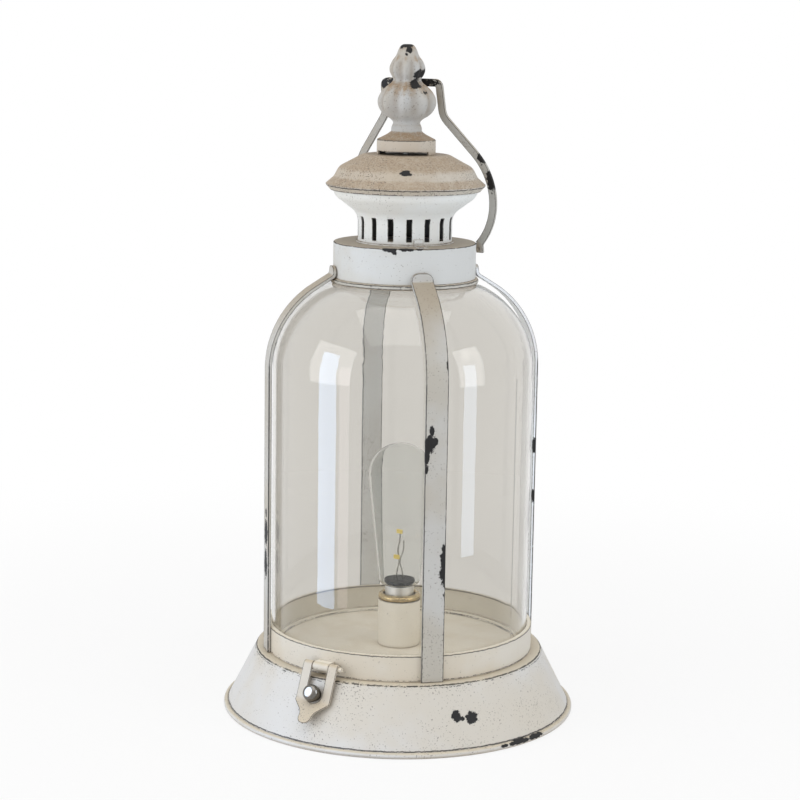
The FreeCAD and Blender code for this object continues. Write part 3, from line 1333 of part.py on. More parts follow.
def contact_leaves(label, sign):
    """Bent spring leaves at one end of the cells, one for each cell."""
    pieces = []
    for row in range(3):
        body = new_body(f"{label}_leaf_{row}")
        side = new_sketch(body, "XZ_Plane", f"{label}_side_{row}")
        wall, tip = "bay_length / 2 - 0.1", "cell_length / 2 + 0.1"
        low, high = "box_foot + 2", f"{BAY_TOP} - 1"
        middle = "box_foot + cell_gap + cell_radius"
        draw(side, [(f"{sign}({wall})", high), (f"{sign}({wall})", low), (f"{sign}({wall} - 0.5)", low),
                    (f"{sign}({tip})", middle), (f"{sign}({wall} - 0.5)", high)])
        pad(body, side, "6", f"{label}_pad_{row}", both=True)
        body.setExpression("Placement.Base.y", bound(f"bay_offset + {row - 1} * (2 * cell_radius + cell_gap)"))
        pieces.append(body)
    doc.recompute()
    made = group_of(label, pieces)
    return made


def timer_board():
    """Board with the timer chip, over the cells."""
    low = f"({BAY_TOP} + box_wall + 0.1)"
    card = box("board_card", "26", "40", "1.6", ("9", "-20", low))
    chip = box("board_chip", "8", "6", "1.6", ("21", "-4", f"{low} + 1.6"))
    return joined("timer_board", [card, chip])


SWITCH_Y = "((bay_offset - bay_width / 2 - box_wall + (box_wall - box_depth / 2)) / 2)"


def switch_body():
    """Case of the slide switch, in the narrow bay beside the cells."""
    made = box("switch_case", "14", "5", "7", ("-7 - switch_travel / 2", f"{SWITCH_Y} - 2.5", "box_foot + box_wall + 1.4"))
    made.Label = "switch_body"
    return made


def switch_slider():
    """Ridged knob that slides in the mouth of the box's foot."""
    body = new_body("switch_slider")
    side = new_sketch(body, "XZ_Plane", "knob_side")
    half = "switch_knob / 2"
    foot = "box_foot"
    draw(side, [(f"-{half}", f"{foot} + box_wall + 1.1"), (f"-{half}", f"{foot} - 1.6", "0.6"),
                ("-0.8", f"{foot} - 1.6"), ("0", f"{foot} - 0.9"), ("0.8", f"{foot} - 1.6"),
                (half, f"{foot} - 1.6", "0.6"), (half, f"{foot} + box_wall + 1.1")])
    pad(body, side, "3.4", "knob_pad", both=True)
    body.setExpression("Placement.Base.y", bound(SWITCH_Y))
    doc.recompute()
    return body


def holder_leads():
    """Insulated leads from the board up the nipple to the holder's plungers."""
    low = size(f"{BAY_TOP} + box_wall + 0.1")
    deck = size("deck_level")
    made = []
    for label, side in (("lead_wire_red", 1), ("lead_wire_black", -1)):
        points = [Vector(12, 6 * side, low + 2.5), Vector(6, 4 * side, low + 2.6),
                  Vector(1.3 * side, 1.2 * side, low + 2.7), Vector(1.3 * side, 0, deck + 3.6),
                  Vector(2.6 * side, 0, deck + 6.6), Vector(5.15 * side, 0, deck + 6.8)]
        made.append(wire_along(label, points, size("wire_radius")))
    return made


# ---------------------------------------------------------------- the whole lamp
parts = [base_shell(), latch_stud(), latch_stud_nut(), hinge_lower_leaf(), hinge_pin()]
parts += [socket_cup(), socket_collet(), holder_sleeve(), holder_base(), holder_plungers(),
          socket_nipple(), nipple_nut()]
parts += [cage_ring(), glass_dome(), neck_collar(), collar_bead(), vent_chimney(), chimney_seam(),
          roof(), vent_cap(), finial(), finial_stud(), finial_nut()]
for name, turn in (("strap_front_right", -45), ("strap_front_left", -135),
                   ("strap_rear_right", 45), ("strap_rear_left", 135)):
    parts.append(strap(name, turn))
parts += [hinge_upper_leaf(), latch_lug(), latch_pin(), latch_hasp(), bail_handle()]
parts += [bulb_glass(), bulb_cap(), bulb_disc(), bulb_leads(), bulb_chips()]
parts += [battery_box(), battery_door()]
for row, name in enumerate(("battery_cell_front", "battery_cell_middle", "battery_cell_rear")):
    parts.append(battery_cell(name, row))
parts += [contact_leaves("contacts_left", "-"), contact_leaves("contacts_right", ""),
          timer_board(), switch_body(), switch_slider()]
parts += holder_leads()
doc.recompute()

faults = [thing.Name for thing in doc.Objects if {"Invalid", "Error"} & set(thing.State)]
for thing in parts:
    if thing.Shape.isNull() or not thing.Shape.isValid():
        faults.append(thing.Label)
if faults:
    raise ValueError("failed objects: " + ", ".join(faults))

os.makedirs("parts", exist_ok=True)
for thing in parts:
    thing.Shape.exportStep(f"parts/{thing.Label}.step")
    print(f"{thing.Label:22s} solids {len(thing.Shape.Solids)}  volume {thing.Shape.Volume:10.1f} mm3")
print(f"{len(parts)} pieces, bail lean {bail_lean():.3f} degrees, hasp hole {hasp_hole_reach():.3f} mm from its pin")
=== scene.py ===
import math

import bmesh
import bpy
from mathutils import Matrix, Vector


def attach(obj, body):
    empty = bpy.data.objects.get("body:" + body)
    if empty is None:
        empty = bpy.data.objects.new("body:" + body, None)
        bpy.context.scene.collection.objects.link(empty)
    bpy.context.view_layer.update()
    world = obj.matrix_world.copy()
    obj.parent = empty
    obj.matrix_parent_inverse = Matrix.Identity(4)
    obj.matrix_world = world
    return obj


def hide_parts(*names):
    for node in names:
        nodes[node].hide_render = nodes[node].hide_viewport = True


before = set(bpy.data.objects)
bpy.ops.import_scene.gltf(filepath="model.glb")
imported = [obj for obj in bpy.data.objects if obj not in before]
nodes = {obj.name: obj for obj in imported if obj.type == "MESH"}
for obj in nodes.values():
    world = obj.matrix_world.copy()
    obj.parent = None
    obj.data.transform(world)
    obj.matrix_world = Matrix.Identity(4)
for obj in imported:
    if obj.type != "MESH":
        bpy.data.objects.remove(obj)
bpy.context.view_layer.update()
scene = bpy.context.scene

# ---------------------------------------------------------------- camera: the photograph's view
AZIMUTH = math.radians(31.2)
PITCH = math.radians(10.247)
ROLL = math.radians(0.874)
SENSOR_WIDTH = 36
FOCAL_LENGTH = 97.85
# metres from the lamp's axis, to the right of it, and over the table
CAMERA_REACH = 1.6084
CAMERA_SIDE = -0.001744
CAMERA_HEIGHT = 0.5266

to_camera = Vector((math.sin(AZIMUTH), -math.cos(AZIMUTH), 0))
right = Vector((math.cos(AZIMUTH), math.sin(AZIMUTH), 0))
up_axis = Vector((0, 0, 1))
look = -to_camera * math.cos(PITCH) - up_axis * math.sin(PITCH)
camera_up = -to_camera * math.sin(PITCH) + up_axis * math.cos(PITCH)
camera_data = bpy.data.cameras.new("photo_camera")
camera_data.sensor_width = SENSOR_WIDTH
camera_data.lens = FOCAL_LENGTH
camera = bpy.data.objects.new("photo_camera", camera_data)
scene.collection.objects.link(camera)
turn = Matrix((right, camera_up, -look)).transposed().to_4x4()
camera_place = to_camera * CAMERA_REACH + right * CAMERA_SIDE + up_axis * CAMERA_HEIGHT
camera.matrix_world = Matrix.Translation(camera_place) @ turn @ Matrix.Rotation(ROLL, 4, "Z")
scene.camera = camera
scene.view_settings.view_transform = "Standard"


# ---------------------------------------------------------------- shader helpers
class Value:
    """A number in a node tree: arithmetic on it adds Math nodes."""

    def __init__(self, shader, socket):
        self.shader = shader
        self.socket = socket

    def __add__(self, other):
        return self.shader.math("ADD", self, other)

    def __sub__(self, other):
        return self.shader.math("SUBTRACT", self, other)

    def __rsub__(self, other):
        return self.shader.math("SUBTRACT", other, self)

    def __mul__(self, other):
        return self.shader.math("MULTIPLY", self, other)

    def __pow__(self, other):
        return self.shader.math("POWER", self, other)

    def __abs__(self):
        return self.shader.math("ABSOLUTE", self)


class Shader:
    """The node tree of a material or of the world, built by short calls."""

    def __init__(self, owner, output="OutputMaterial"):
        self.owner = owner
        owner.use_nodes = True
        self.tree = owner.node_tree
        self.tree.nodes.clear()
        self.output = self.add(output)
        coords = self.add("TexCoord").outputs
        self.place = coords["Object"]
        self.normal = coords["Normal"]

    def add(self, kind, **values):
        node = self.tree.nodes.new("ShaderNode" + kind)
        for key, value in values.items():
            setattr(node, key, value)
        return node

    def feed(self, socket, value):
        """Link a value to a socket, or set a constant on it."""
        if isinstance(value, Value):
            value = value.socket
        if isinstance(value, bpy.types.NodeSocket):
            self.tree.links.new(value, socket)
        elif socket.type == "RGBA":
            socket.default_value = (*value, 1)
        else:
            socket.default_value = value

    def math(self, operation, a, b=0.0):
        node = self.add("Math", operation=operation)
        self.feed(node.inputs[0], a)
        self.feed(node.inputs[1], b)
        return Value(self, node.outputs[0])

    def most(self, a, b):
        return self.math("MAXIMUM", a, b)

    def vector(self, operation, a, b=(0.0, 0.0, 0.0)):
        node = self.add("VectorMath", operation=operation)
        self.feed(node.inputs[0], a)
        self.feed(node.inputs[1], b)
        if operation in ("LENGTH", "DOT_PRODUCT"):
            return Value(self, node.outputs["Value"])
        return node.outputs["Vector"]

    def split(self, vector):
        node = self.add("SeparateXYZ")
        self.feed(node.inputs[0], vector)
        return [Value(self, output) for output in node.outputs]

    def noise(self, scale, detail=3.0, rough=0.55, place=None):
        node = self.add("TexNoise")
        self.feed(node.inputs["Vector"], place or self.place)
        self.feed(node.inputs["Scale"], scale)
        self.feed(node.inputs["Detail"], detail)
        self.feed(node.inputs["Roughness"], rough)
        return Value(self, node.outputs["Fac"])

    def step(self, value, low, high):
        """0 below low, 1 above high, smooth between; with low above high it falls from 1 to 0."""
        node = self.add("MapRange", interpolation_type="SMOOTHSTEP")
        falls = low > high
        self.feed(node.inputs["Value"], value)
        self.feed(node.inputs["From Min"], min(low, high))
        self.feed(node.inputs["From Max"], max(low, high))
        self.feed(node.inputs["To Min"], 1.0 if falls else 0.0)
        self.feed(node.inputs["To Max"], 0.0 if falls else 1.0)
        return Value(self, node.outputs["Result"])

    def mix(self, factor, a, b):
        """A colour between a and b. The sockets go by number, because the node has one A and B per kind."""
        node = self.add("Mix", data_type="RGBA")
        self.feed(node.inputs[0], factor)
        self.feed(node.inputs[6], a)
        self.feed(node.inputs[7], b)
        return node.outputs[2]

    def bump(self, height, distance, strength):
        node = self.add("Bump")
        self.feed(node.inputs["Height"], height)
        self.feed(node.inputs["Distance"], distance)
        self.feed(node.inputs["Strength"], strength)
        return node.outputs[0]

    def principled(self, **values):
        node = self.add("BsdfPrincipled")
        for key, value in values.items():
            self.feed(node.inputs[key.replace("_", " ")], value)
        return node.outputs[0]

    def plain(self, kind, colour, strength=None):
        """A shader of one colour, with a strength where its kind has one."""
        node = self.add(kind)
        self.feed(node.inputs["Color"], colour)
        if strength is not None:
            self.feed(node.inputs["Strength"], strength)
        return node.outputs[0]

    def blend(self, factor, a, b):
        node = self.add("MixShader")
        for socket, value in zip(node.inputs, (factor, a, b)):
            self.feed(socket, value)
        return node.outputs[0]

    def background_rays(self):
        """1 for the rays that show the background: straight, off gloss or through glass."""
        light = self.add("LightPath").outputs
        return self.most(light["Is Camera Ray"], self.most(light["Is Glossy Ray"], light["Is Transmission Ray"]))

    def show(self, shader):
        self.feed(self.output.inputs["Surface"], shader)
        return self.owner


def material_shader(name):
    return Shader(bpy.data.materials.new(name))


def linear(red, green, blue):
    """A colour as seen on screen, 0 to 255, as the shader wants it."""
    return tuple((c / 12.92 if c <= 0.04045 else ((c + 0.055) / 1.055) ** 2.4)
                 for c in (red / 255, green / 255, blue / 255))


def dress(material, *names):
    for name in names:
        data = nodes[name].data
        data.materials.clear()
        data.materials.append(material)


# ---------------------------------------------------------------- rubbed-through paint
# the finial's valleys: dirt colour that also serves as painted shade
VALLEY_DIRT_AND_SHADE = linear(132, 118, 100)
# painted shade for corners and recesses, tinted like dust
CORNER_DUST_AND_SHADE = linear(150, 128, 98)
ROOF_DIRT = linear(146, 124, 98)
SPECK = linear(84, 74, 66)
RUBBED = linear(112, 90, 66)
# painted shade for faces that look inward
INSIDE_SHADE = linear(38, 35, 30)
IRON = (0.0012, 0.0011, 0.0011)
RUSTY_IRON = (0.006, 0.0045, 0.004)

# how far the ambient occlusion reaches for the painted corner shade
CORNER_REACH = 0.009
EDGE_RADIUS = 0.0009
# the deck inside the ring ends between these two radii
DECK_ENDS = (0.0995, 0.0975)
# the straps stand on the diagonals: where their long edges, their outer corners and their bend are
DIAGONAL = 0.70711
STRAP_EDGE = (0.0074, 0.0078)
STRAP_CORNER = (0.1024, 0.1028)
STRAP_BEND = (0.272, 0.262)
# the finial's cast ridges: how many, where the first stands, and the levels between which they show
RIDGES = 8
FIRST_RIDGE = math.radians(-64.8)
RIDGE_FOOT = 0.447
RIDGE_HEAD = 0.490


def strap_edges(s, x, y, z, outward, flecks, uneven):
    """Wear along the long edges of the flat bars that stand on the diagonals."""
    across = abs(abs(x) - abs(y))
    reach = across * DIAGONAL + (flecks - 0.5) * 0.0016
    broad = s.step(abs(outward), 0.02, 0.05)
    line = s.step(reach, *STRAP_EDGE) * broad * s.step(uneven, 0.40, 0.45)
    # and along the outer corner of their narrow sides, below the bend
    depth = (abs(x) + abs(y)) * DIAGONAL
    corner = s.step(depth, *STRAP_CORNER) * s.step(z, *STRAP_BEND) * ((1.0 - broad) * s.step(uneven, 0.38, 0.45))
    return s.most(line * 0.85, corner * 0.9)


def painted(name, cool, warm, top, chips=(), lines=(), edge=0.5, top_tint=0.85, speckle=0.5, inside=False,
            brown=0.0, crease=0.7, deck=None, bar=False, inner_light=None, dense=None, ridged=False):
    """Chalky paint over black iron: cool on walls, browned where dust lies, worn along its edges.

    cool and warm are the paint's two shades, top is what dust makes of it on faces that look up.
    chips are (x, y, z, rx, ry, rz) blots of bare metal. lines are (level, half height, strength)
    bands where the wear runs round an edge in broken flecks. edge and speckle say how much is worn
    along edges and in specks, dense is (level, level, share) where specks grow thicker. crease says
    how dark the painted shade in corners is, brown how dark the stippled tops are. deck is the two
    shades of the clean floor inside the ring. inner_light is painted light: a pale colour for faces
    that look inward. inside paints those faces near black as painted shade.
    """
    s = material_shader(name)
    x, y, z = s.split(s.place)
    nx, ny, nz = s.split(s.normal)
    outward = x * nx + y * ny
    upright = s.step(abs(nz), 0.96, 0.86)
    mottle = s.noise(12, 4, 0.55)
    grime = s.noise(60, 5, 0.65)
    flecks = s.noise(330, 5, 0.75)
    stretch = s.noise(34, 3, 0.6)
    uneven = flecks * 0.6 + stretch * 0.4

    # the paint itself, with dust on what looks up
    dusty = s.step(nz + (mottle - 0.5) * 0.4, 0.3, 0.9)
    colour = s.mix(s.step(mottle, 0.40, 0.62), cool, warm)
    colour = s.mix(dusty * top_tint, colour, top)
    if deck:
        radius = s.vector("LENGTH", s.vector("MULTIPLY", s.place, (1.0, 1.0, 0.0)))
        clean = s.step(radius, *DECK_ENDS) * s.step(nz, 0.6, 0.9)
        colour = s.mix(clean, colour, s.mix(s.step(grime, 0.35, 0.75), *deck))
    if ridged:
        # darker between the cast ridges: old dirt, deepened as painted shade to give the lobes definition; none on
        # the plain foot and tip
        around = (s.math("ARCTAN2", y, x) - FIRST_RIDGE) * RIDGES
        valley = (1.0 - s.math("COSINE", around)) * 0.5
        between = s.step(z, RIDGE_FOOT, RIDGE_FOOT + 0.006) * s.step(z, RIDGE_HEAD, RIDGE_HEAD - 0.004)
        colour = s.mix(valley ** 1.6 * between * (grime * 0.7 + 0.15), colour, VALLEY_DIRT_AND_SHADE)
    # painted light: faces that look inward are made pale, standing in for light the glass keeps from them
    if inner_light:
        colour = s.mix(s.step(outward, 0.02, -0.02), colour, inner_light)

    # painted shade in the corners, found by ambient occlusion and tinted like dust and old lacquer; and dust stippled
    # on a browned top
    shade = s.add("AmbientOcclusion", samples=8)
    s.feed(shade.inputs["Distance"], CORNER_REACH)
    colour = s.mix(s.step(shade.outputs["AO"], 0.80, 0.30) * crease, colour, CORNER_DUST_AND_SHADE)
    if brown:
        up = s.step(nz + (s.noise(170, 4, 0.7) - 0.5) * 1.1, 0.34, 0.86)
        stipple = s.step(s.noise(700, 2, 0.6) + s.noise(150, 3) * 0.5, 0.58, 0.86)
        colour = s.mix(up * (stipple + 0.45) * brown, colour, ROOF_DIRT)

    # wear along edges: where a rounded copy of the surface turns away from the real one
    bevel = s.add("Bevel", samples=8)
    s.feed(bevel.inputs["Radius"], EDGE_RADIUS)
    turned = 1.0 - s.vector("DOT_PRODUCT", bevel.outputs[0], s.add("NewGeometry").outputs["Normal"])
    rub = s.step(turned, 0.012, 0.07) * s.step(uneven, 0.34, 0.54)
    worn = s.step(turned, 0.02, 0.08) * s.step(uneven, 0.60 - 0.16 * edge, 0.64 - 0.16 * edge)
    wear = worn * 0.95
    if bar:
        wear = s.most(wear, strap_edges(s, x, y, z, outward, flecks, uneven))
    # flecked lines round the edges that are turned on a lathe, not on flat sheet at the same level
    for level, half, strength in lines:
        wander = (s.noise(240, 4, 0.7) - 0.5) * (2.6 * half)
        off = abs(z + wander - level)
        fleck = s.step(s.noise(420, 4, 0.75) * 0.6 + stretch * 0.4, 0.56 - 0.12 * strength, 0.60 - 0.12 * strength)
        wear = s.most(wear, s.step(off, half, half * 0.3) * (fleck * upright) * 0.9)
    for cx, cy, cz, rx, ry, rz in chips:
        away = s.vector("MULTIPLY", s.vector("SUBTRACT", s.place, (cx, cy, cz)), (1 / rx, 1 / ry, 1 / rz))
        reach = s.vector("LENGTH", away) + (flecks - 0.5) * 2.0
        wear = s.most(wear, s.step(reach, 1.04, 0.95))

    # fine specks, thicker in some patches and fewer on the clean deck
    patch = (s.noise(26, 4, 0.65) - 0.5) * 0.42
    if dense:
        low, high, share = dense
        patch = patch + s.step(z, low, high) * upright * share
    spot = s.step(s.noise(900, 1, 0.5) + patch, 0.745 - 0.06 * speckle, 0.80 - 0.06 * speckle)
    dots = spot * 0.62
    if deck:
        dots = dots * (1.0 - clean * 0.85)

    colour = s.mix(dots, colour, SPECK)
    colour = s.mix(rub * 0.6, colour, RUBBED)
    colour = s.mix(wear, colour, s.mix(grime, IRON, RUSTY_IRON))
    # painted shade: faces that look inward go near black, as the closed-in inside is dark
    if inside:
        colour = s.mix(s.step(outward, 0.002, -0.004), colour, INSIDE_SHADE)
    height = s.noise(420, 3, 0.6) * 0.3 + grime * 0.3 - wear * 0.6
    rough = grime * 0.2 + 0.54 + wear * 0.15
    return s.show(s.principled(Base_Color=colour, Roughness=rough, Normal=s.bump(height, 0.0003, 0.6)))


shell_paint = painted(
    "paint_foot", linear(211, 212, 213), linear(206, 203, 197), linear(203, 192, 170), speckle=0.9,
    dense=(0.034, 0.046, 0.06), crease=0.38, deck=(linear(240, 233, 219), linear(232, 222, 204)),
    lines=((0.0463, 0.0006, 1.1), (0.0450, 0.0005, 0.5), (0.0047, 0.0006, 1.6)),
    chips=((0.0938, -0.0732, 0.0262, 0.0036, 0.0036, 0.0052), (0.1017, -0.0644, 0.0236, 0.0046, 0.0046, 0.0050),
           (0.0965, -0.0705, 0.0238, 0.0022, 0.0022, 0.0016), (0.1274, -0.0382, 0.0030, 0.006, 0.012, 0.0016),
           (0.1312, -0.0214, 0.0032, 0.003, 0.010, 0.0018), (0.1215, -0.0520, 0.0028, 0.003, 0.004, 0.0012)))
dress(shell_paint, "base_shell", "hinge_lower_leaf")

cup_paint = painted("paint_cup", linear(242, 237, 226), linear(234, 227, 212), linear(226, 216, 196), speckle=0.7,
                    crease=0.3)
dress(cup_paint, "socket_cup")

# the ring's inward faces carry painted light
ring_paint = painted("paint_ring", linear(214, 210, 201), linear(210, 202, 187), linear(212, 201, 178), speckle=0.7,
                     lines=((0.0658, 0.0005, 1.7), (0.0480, 0.0004, 0.8)), crease=0.12, inner_light=linear(250, 246, 236))
dress(ring_paint, "cage_ring", "hinge_upper_leaf", "latch_lug", "latch_pin")

strap_paint = painted(
    "paint_strap", linear(192, 192, 190), linear(184, 180, 171), linear(160, 147, 126), edge=1.45, speckle=1.3,
    crease=0.15, bar=True,
    chips=((0.0696, -0.0767, 0.2225, 0.0040, 0.0040, 0.0065), (0.0678, -0.0785, 0.2140, 0.0024, 0.0024, 0.0075),
           (0.0705, -0.0758, 0.2325, 0.0018, 0.0018, 0.0035), (0.0722, -0.0741, 0.2245, 0.0028, 0.0028, 0.0026),
           (0.0682, -0.0781, 0.2040, 0.0014, 0.0014, 0.0026), (0.0775, -0.0671, 0.135, 0.0032, 0.0032, 0.0165),
           (0.0768, -0.0678, 0.128, 0.0030, 0.0030, 0.0060), (0.0784, -0.0662, 0.281, 0.0020, 0.0020, 0.0078),
           (0.0775, -0.0671, 0.112, 0.0014, 0.0014, 0.003), (-0.0731, -0.0731, 0.138, 0.0064, 0.0064, 0.0090),
           (-0.0735, -0.0727, 0.114, 0.0052, 0.0052, 0.0110), (-0.0731, -0.0731, 0.153, 0.0030, 0.0030, 0.0030)))
dress(strap_paint, "strap_front_left", "strap_front_right")

# painted light: the rear straps take a near-white, bluish copy of the front straps' paint so they look lit through
# the glass
rear_strap_lit = painted(
    "paint_strap_rear_lit", linear(238, 243, 250), linear(230, 232, 236), linear(190, 182, 168), edge=1.45, speckle=0.9,
    crease=0.1, bar=True,
    chips=((0.0782, 0.0664, 0.199, 0.0030, 0.0030, 0.0060), (0.0782, 0.0664, 0.160, 0.0018, 0.0018, 0.0050)))
dress(rear_strap_lit, "strap_rear_left", "strap_rear_right")

collar_paint = painted(
    "paint_collar", linear(206, 209, 210), linear(198, 196, 190), linear(176, 160, 136), inside=True, speckle=0.6,
    crease=0.4, lines=((0.3550, 0.0005, 1.4),),
    chips=((0.0180, -0.0500, 0.3548, 0.0060, 0.0040, 0.0022), (0.0290, -0.0445, 0.3552, 0.0080, 0.0050, 0.0014),
           (0.0205, -0.0490, 0.3530, 0.0022, 0.0022, 0.0022), (0.0360, -0.0390, 0.3553, 0.0030, 0.0030, 0.0010)))
dress(collar_paint, "neck_collar")

bead_paint = painted("paint_bead", linear(196, 195, 190), linear(178, 174, 164), linear(170, 160, 142), edge=0.9,
                     speckle=2.4, lines=((0.3283, 0.0005, 1.2), (0.3262, 0.0004, 1.0)))
dress(bead_paint, "collar_bead")

bell_paint = painted("paint_bell", linear(233, 237, 238), linear(226, 226, 222), linear(168, 150, 124), inside=True,
                     speckle=0.9, crease=0.45)
dress(bell_paint, "vent_chimney", "chimney_seam")

roof_paint = painted(
    "paint_roof", linear(198, 193, 184), linear(188, 178, 163), linear(176, 162, 143), inside=True, speckle=2.2,
    edge=0.8, brown=0.42, lines=((0.3972, 0.0006, 1.4), (0.3940, 0.0005, 0.8)),
    chips=((0.0258, -0.0438, 0.4099, 0.0040, 0.0040, 0.0024), (0.0285, -0.0425, 0.4092, 0.0022, 0.0022, 0.0018)))
dress(roof_paint, "roof")

cap_paint = painted("paint_cap", linear(200, 193, 182), linear(192, 180, 164), linear(176, 159, 134), inside=True,
                    speckle=1.2, edge=0.8, lines=((0.4305, 0.0004, 1.4),))
dress(cap_paint, "vent_cap")

finial_paint = painted(
    "paint_finial", linear(186, 188, 189), linear(178, 172, 162), linear(156, 141, 118), edge=0.2, top_tint=0.6,
    brown=0.75, speckle=1.4, ridged=True,
    chips=((-0.0005, -0.0030, 0.4995, 0.0065, 0.0055, 0.0028), (0.0044, -0.0052, 0.4962, 0.0026, 0.0026, 0.0024),
           (0.0039, -0.0078, 0.4930, 0.0013, 0.0013, 0.0013), (0.0035, -0.0199, 0.4637, 0.0026, 0.0026, 0.0024),
           (0.0114, -0.0060, 0.4716, 0.0050, 0.0060, 0.0034), (0.0122, -0.0010, 0.4770, 0.0036, 0.0080, 0.0056),
           (0.0190, -0.0020, 0.4655, 0.0040, 0.0060, 0.0016)))

hasp_paint = painted("paint_hasp", linear(206, 201, 191), linear(200, 191, 176), linear(198, 184, 160), edge=1.15,
                     speckle=0.6, crease=0.4)
dress(hasp_paint, "latch_hasp")

bail_paint = painted(
    "paint_bail", linear(184, 183, 178), linear(174, 168, 156), linear(162, 149, 128), edge=1.4, speckle=0.9,
    chips=((-0.0060, 0.0163, 0.4722, 0.0235, 0.0070, 0.0045), (-0.0290, 0.0170, 0.4700, 0.0036, 0.0050, 0.0040),
           (0.0497, 0.0257, 0.4189, 0.0034, 0.0050, 0.0054), (0.0568, 0.0273, 0.4016, 0.0040, 0.0050, 0.0085)))
dress(bail_paint, "bail_handle")


# ---------------------------------------------------------------- glass, bare metal and plastic
def clear_glass(name, tint, rough, ior):
    """Clear glass with its real wall; the lights outside reach what stands inside."""
    s = material_shader(name)
    smear = s.noise(30, 4, 0.6, s.vector("MULTIPLY", s.place, (1.0, 1.0, 0.25)))
    glass = s.principled(Base_Color=tint, Roughness=s.step(smear, 0.3, 0.8) * rough, Transmission_Weight=1.0,
                         IOR=ior, Normal=s.bump(s.noise(16, 2), 0.0006, 0.35))
    light = s.add("LightPath").outputs
    lets_light_in = s.most(light["Is Shadow Ray"], light["Is Diffuse Ray"])
    return s.show(s.blend(lets_light_in, glass, s.plain("BsdfTransparent", (1.0, 1.0, 0.99))))


def metal(name, colour, dark, rough):
    """Bare metal with cloudy tarnish and fine scratches."""
    s = material_shader(name)
    tarnish = s.step(s.noise(90, 5, 0.6), 0.45, 0.75)
    scratch = s.noise(600, 2, 0.5, s.vector("MULTIPLY", s.place, (1.0, 1.0, 3.0)))
    return s.show(s.principled(Base_Color=s.mix(tarnish * 0.45, colour, dark), Metallic=1.0,
                               Roughness=scratch * 0.12 + rough, Normal=s.bump(scratch, 0.0001, 0.3)))


def moulded(name, colour, other, rough):
    """Plastic or board with a fine grain."""
    s = material_shader(name)
    cloud = s.step(s.noise(40, 3), 0.35, 0.7)
    return s.show(s.principled(Base_Color=s.mix(cloud, colour, other), Roughness=rough,
                               Normal=s.bump(s.noise(900, 3, 0.6), 0.00012, 0.5)))


dress(clear_glass("glass_smoke", linear(228, 226, 222), 0.02, 1.45), "glass_dome")
dress(clear_glass("glass_bulb", linear(246, 247, 246), 0.01, 1.13), "bulb_glass")
dress(metal("brass_ring", linear(206, 186, 142), linear(140, 112, 68), 0.2), "socket_collet", "holder_plungers")
dress(metal("nickel_plate", linear(176, 173, 166), linear(92, 86, 78), 0.14), "bulb_leads", "contacts_left",
      "contacts_right")
dress(metal("stud_nickel", linear(120, 117, 112), linear(52, 48, 44), 0.12), "latch_stud")
dress(metal("cap_silver", linear(226, 224, 218), linear(170, 164, 152), 0.36), "bulb_cap")
dress(metal("zinc_plate", linear(170, 170, 168), linear(110, 108, 100), 0.35), "latch_stud_nut", "hinge_pin",
      "holder_sleeve", "socket_nipple", "nipple_nut", "finial_stud", "finial_nut")
dress(moulded("insulator", linear(226, 222, 210), linear(214, 206, 190), 0.45), "holder_base")
dress(moulded("box_plastic", linear(30, 30, 31), linear(38, 37, 36), 0.5), "battery_box", "battery_door",
      "switch_body", "switch_slider", "bulb_disc", "lead_wire_black")
dress(moulded("cell_sleeve", linear(52, 58, 70), linear(60, 64, 74), 0.25), "battery_cell_front",
      "battery_cell_middle", "battery_cell_rear")
dress(moulded("board_mask", linear(28, 92, 48), linear(22, 78, 40), 0.3), "timer_board")
dress(moulded("wire_red", linear(168, 30, 26), linear(150, 26, 22), 0.4), "lead_wire_red")
dress(moulded("phosphor", linear(236, 208, 84), linear(228, 196, 66), 0.35), "bulb_chips")


# ---------------------------------------------------------------- finial with soft cast lobes
# millimetres: the finial's foot and tip over the table, and how deep the valleys between lobes are
FINIAL_FOOT = 431
FINIAL_TIP = 500
VALLEY_DEPTH = 3.2
RIDGE_SHARPNESS = 1.8
POINTS_AROUND = 192
# radius, height over the foot, and how far the lobes stand out, 0 to 1
FINIAL_OUTLINE = [(21.3, 0, 0), (11.0, 5.2, 0), (11.5, 8.4, 0), (9.0, 13.2, 0), (18.8, 18.4, 0.7), (22.7, 27.6, 1.0),
                  (18.2, 36.2, 1.0), (9.1, 42.7, 0.3), (12.3, 46.7, 0.6), (13.6, 51.4, 0.7), (11.5, 56.8, 0.5),
                  (8.4, 60.4, 0.1), (6.8, 65.2, 0), (4.2, 68.9, 0), (0, 69.0, 0)]
OUTLINE_ROUNDS = 3


def rounded(corners):
    """The outline with each corner cut at a quarter of its sides."""
    cut = [corners[0]]
    for a, b in zip(corners, corners[1:]):
        cut.append(tuple(0.75 * p + 0.25 * q for p, q in zip(a, b)))
        cut.append(tuple(0.25 * p + 0.75 * q for p, q in zip(a, b)))
    return cut + [corners[-1]]


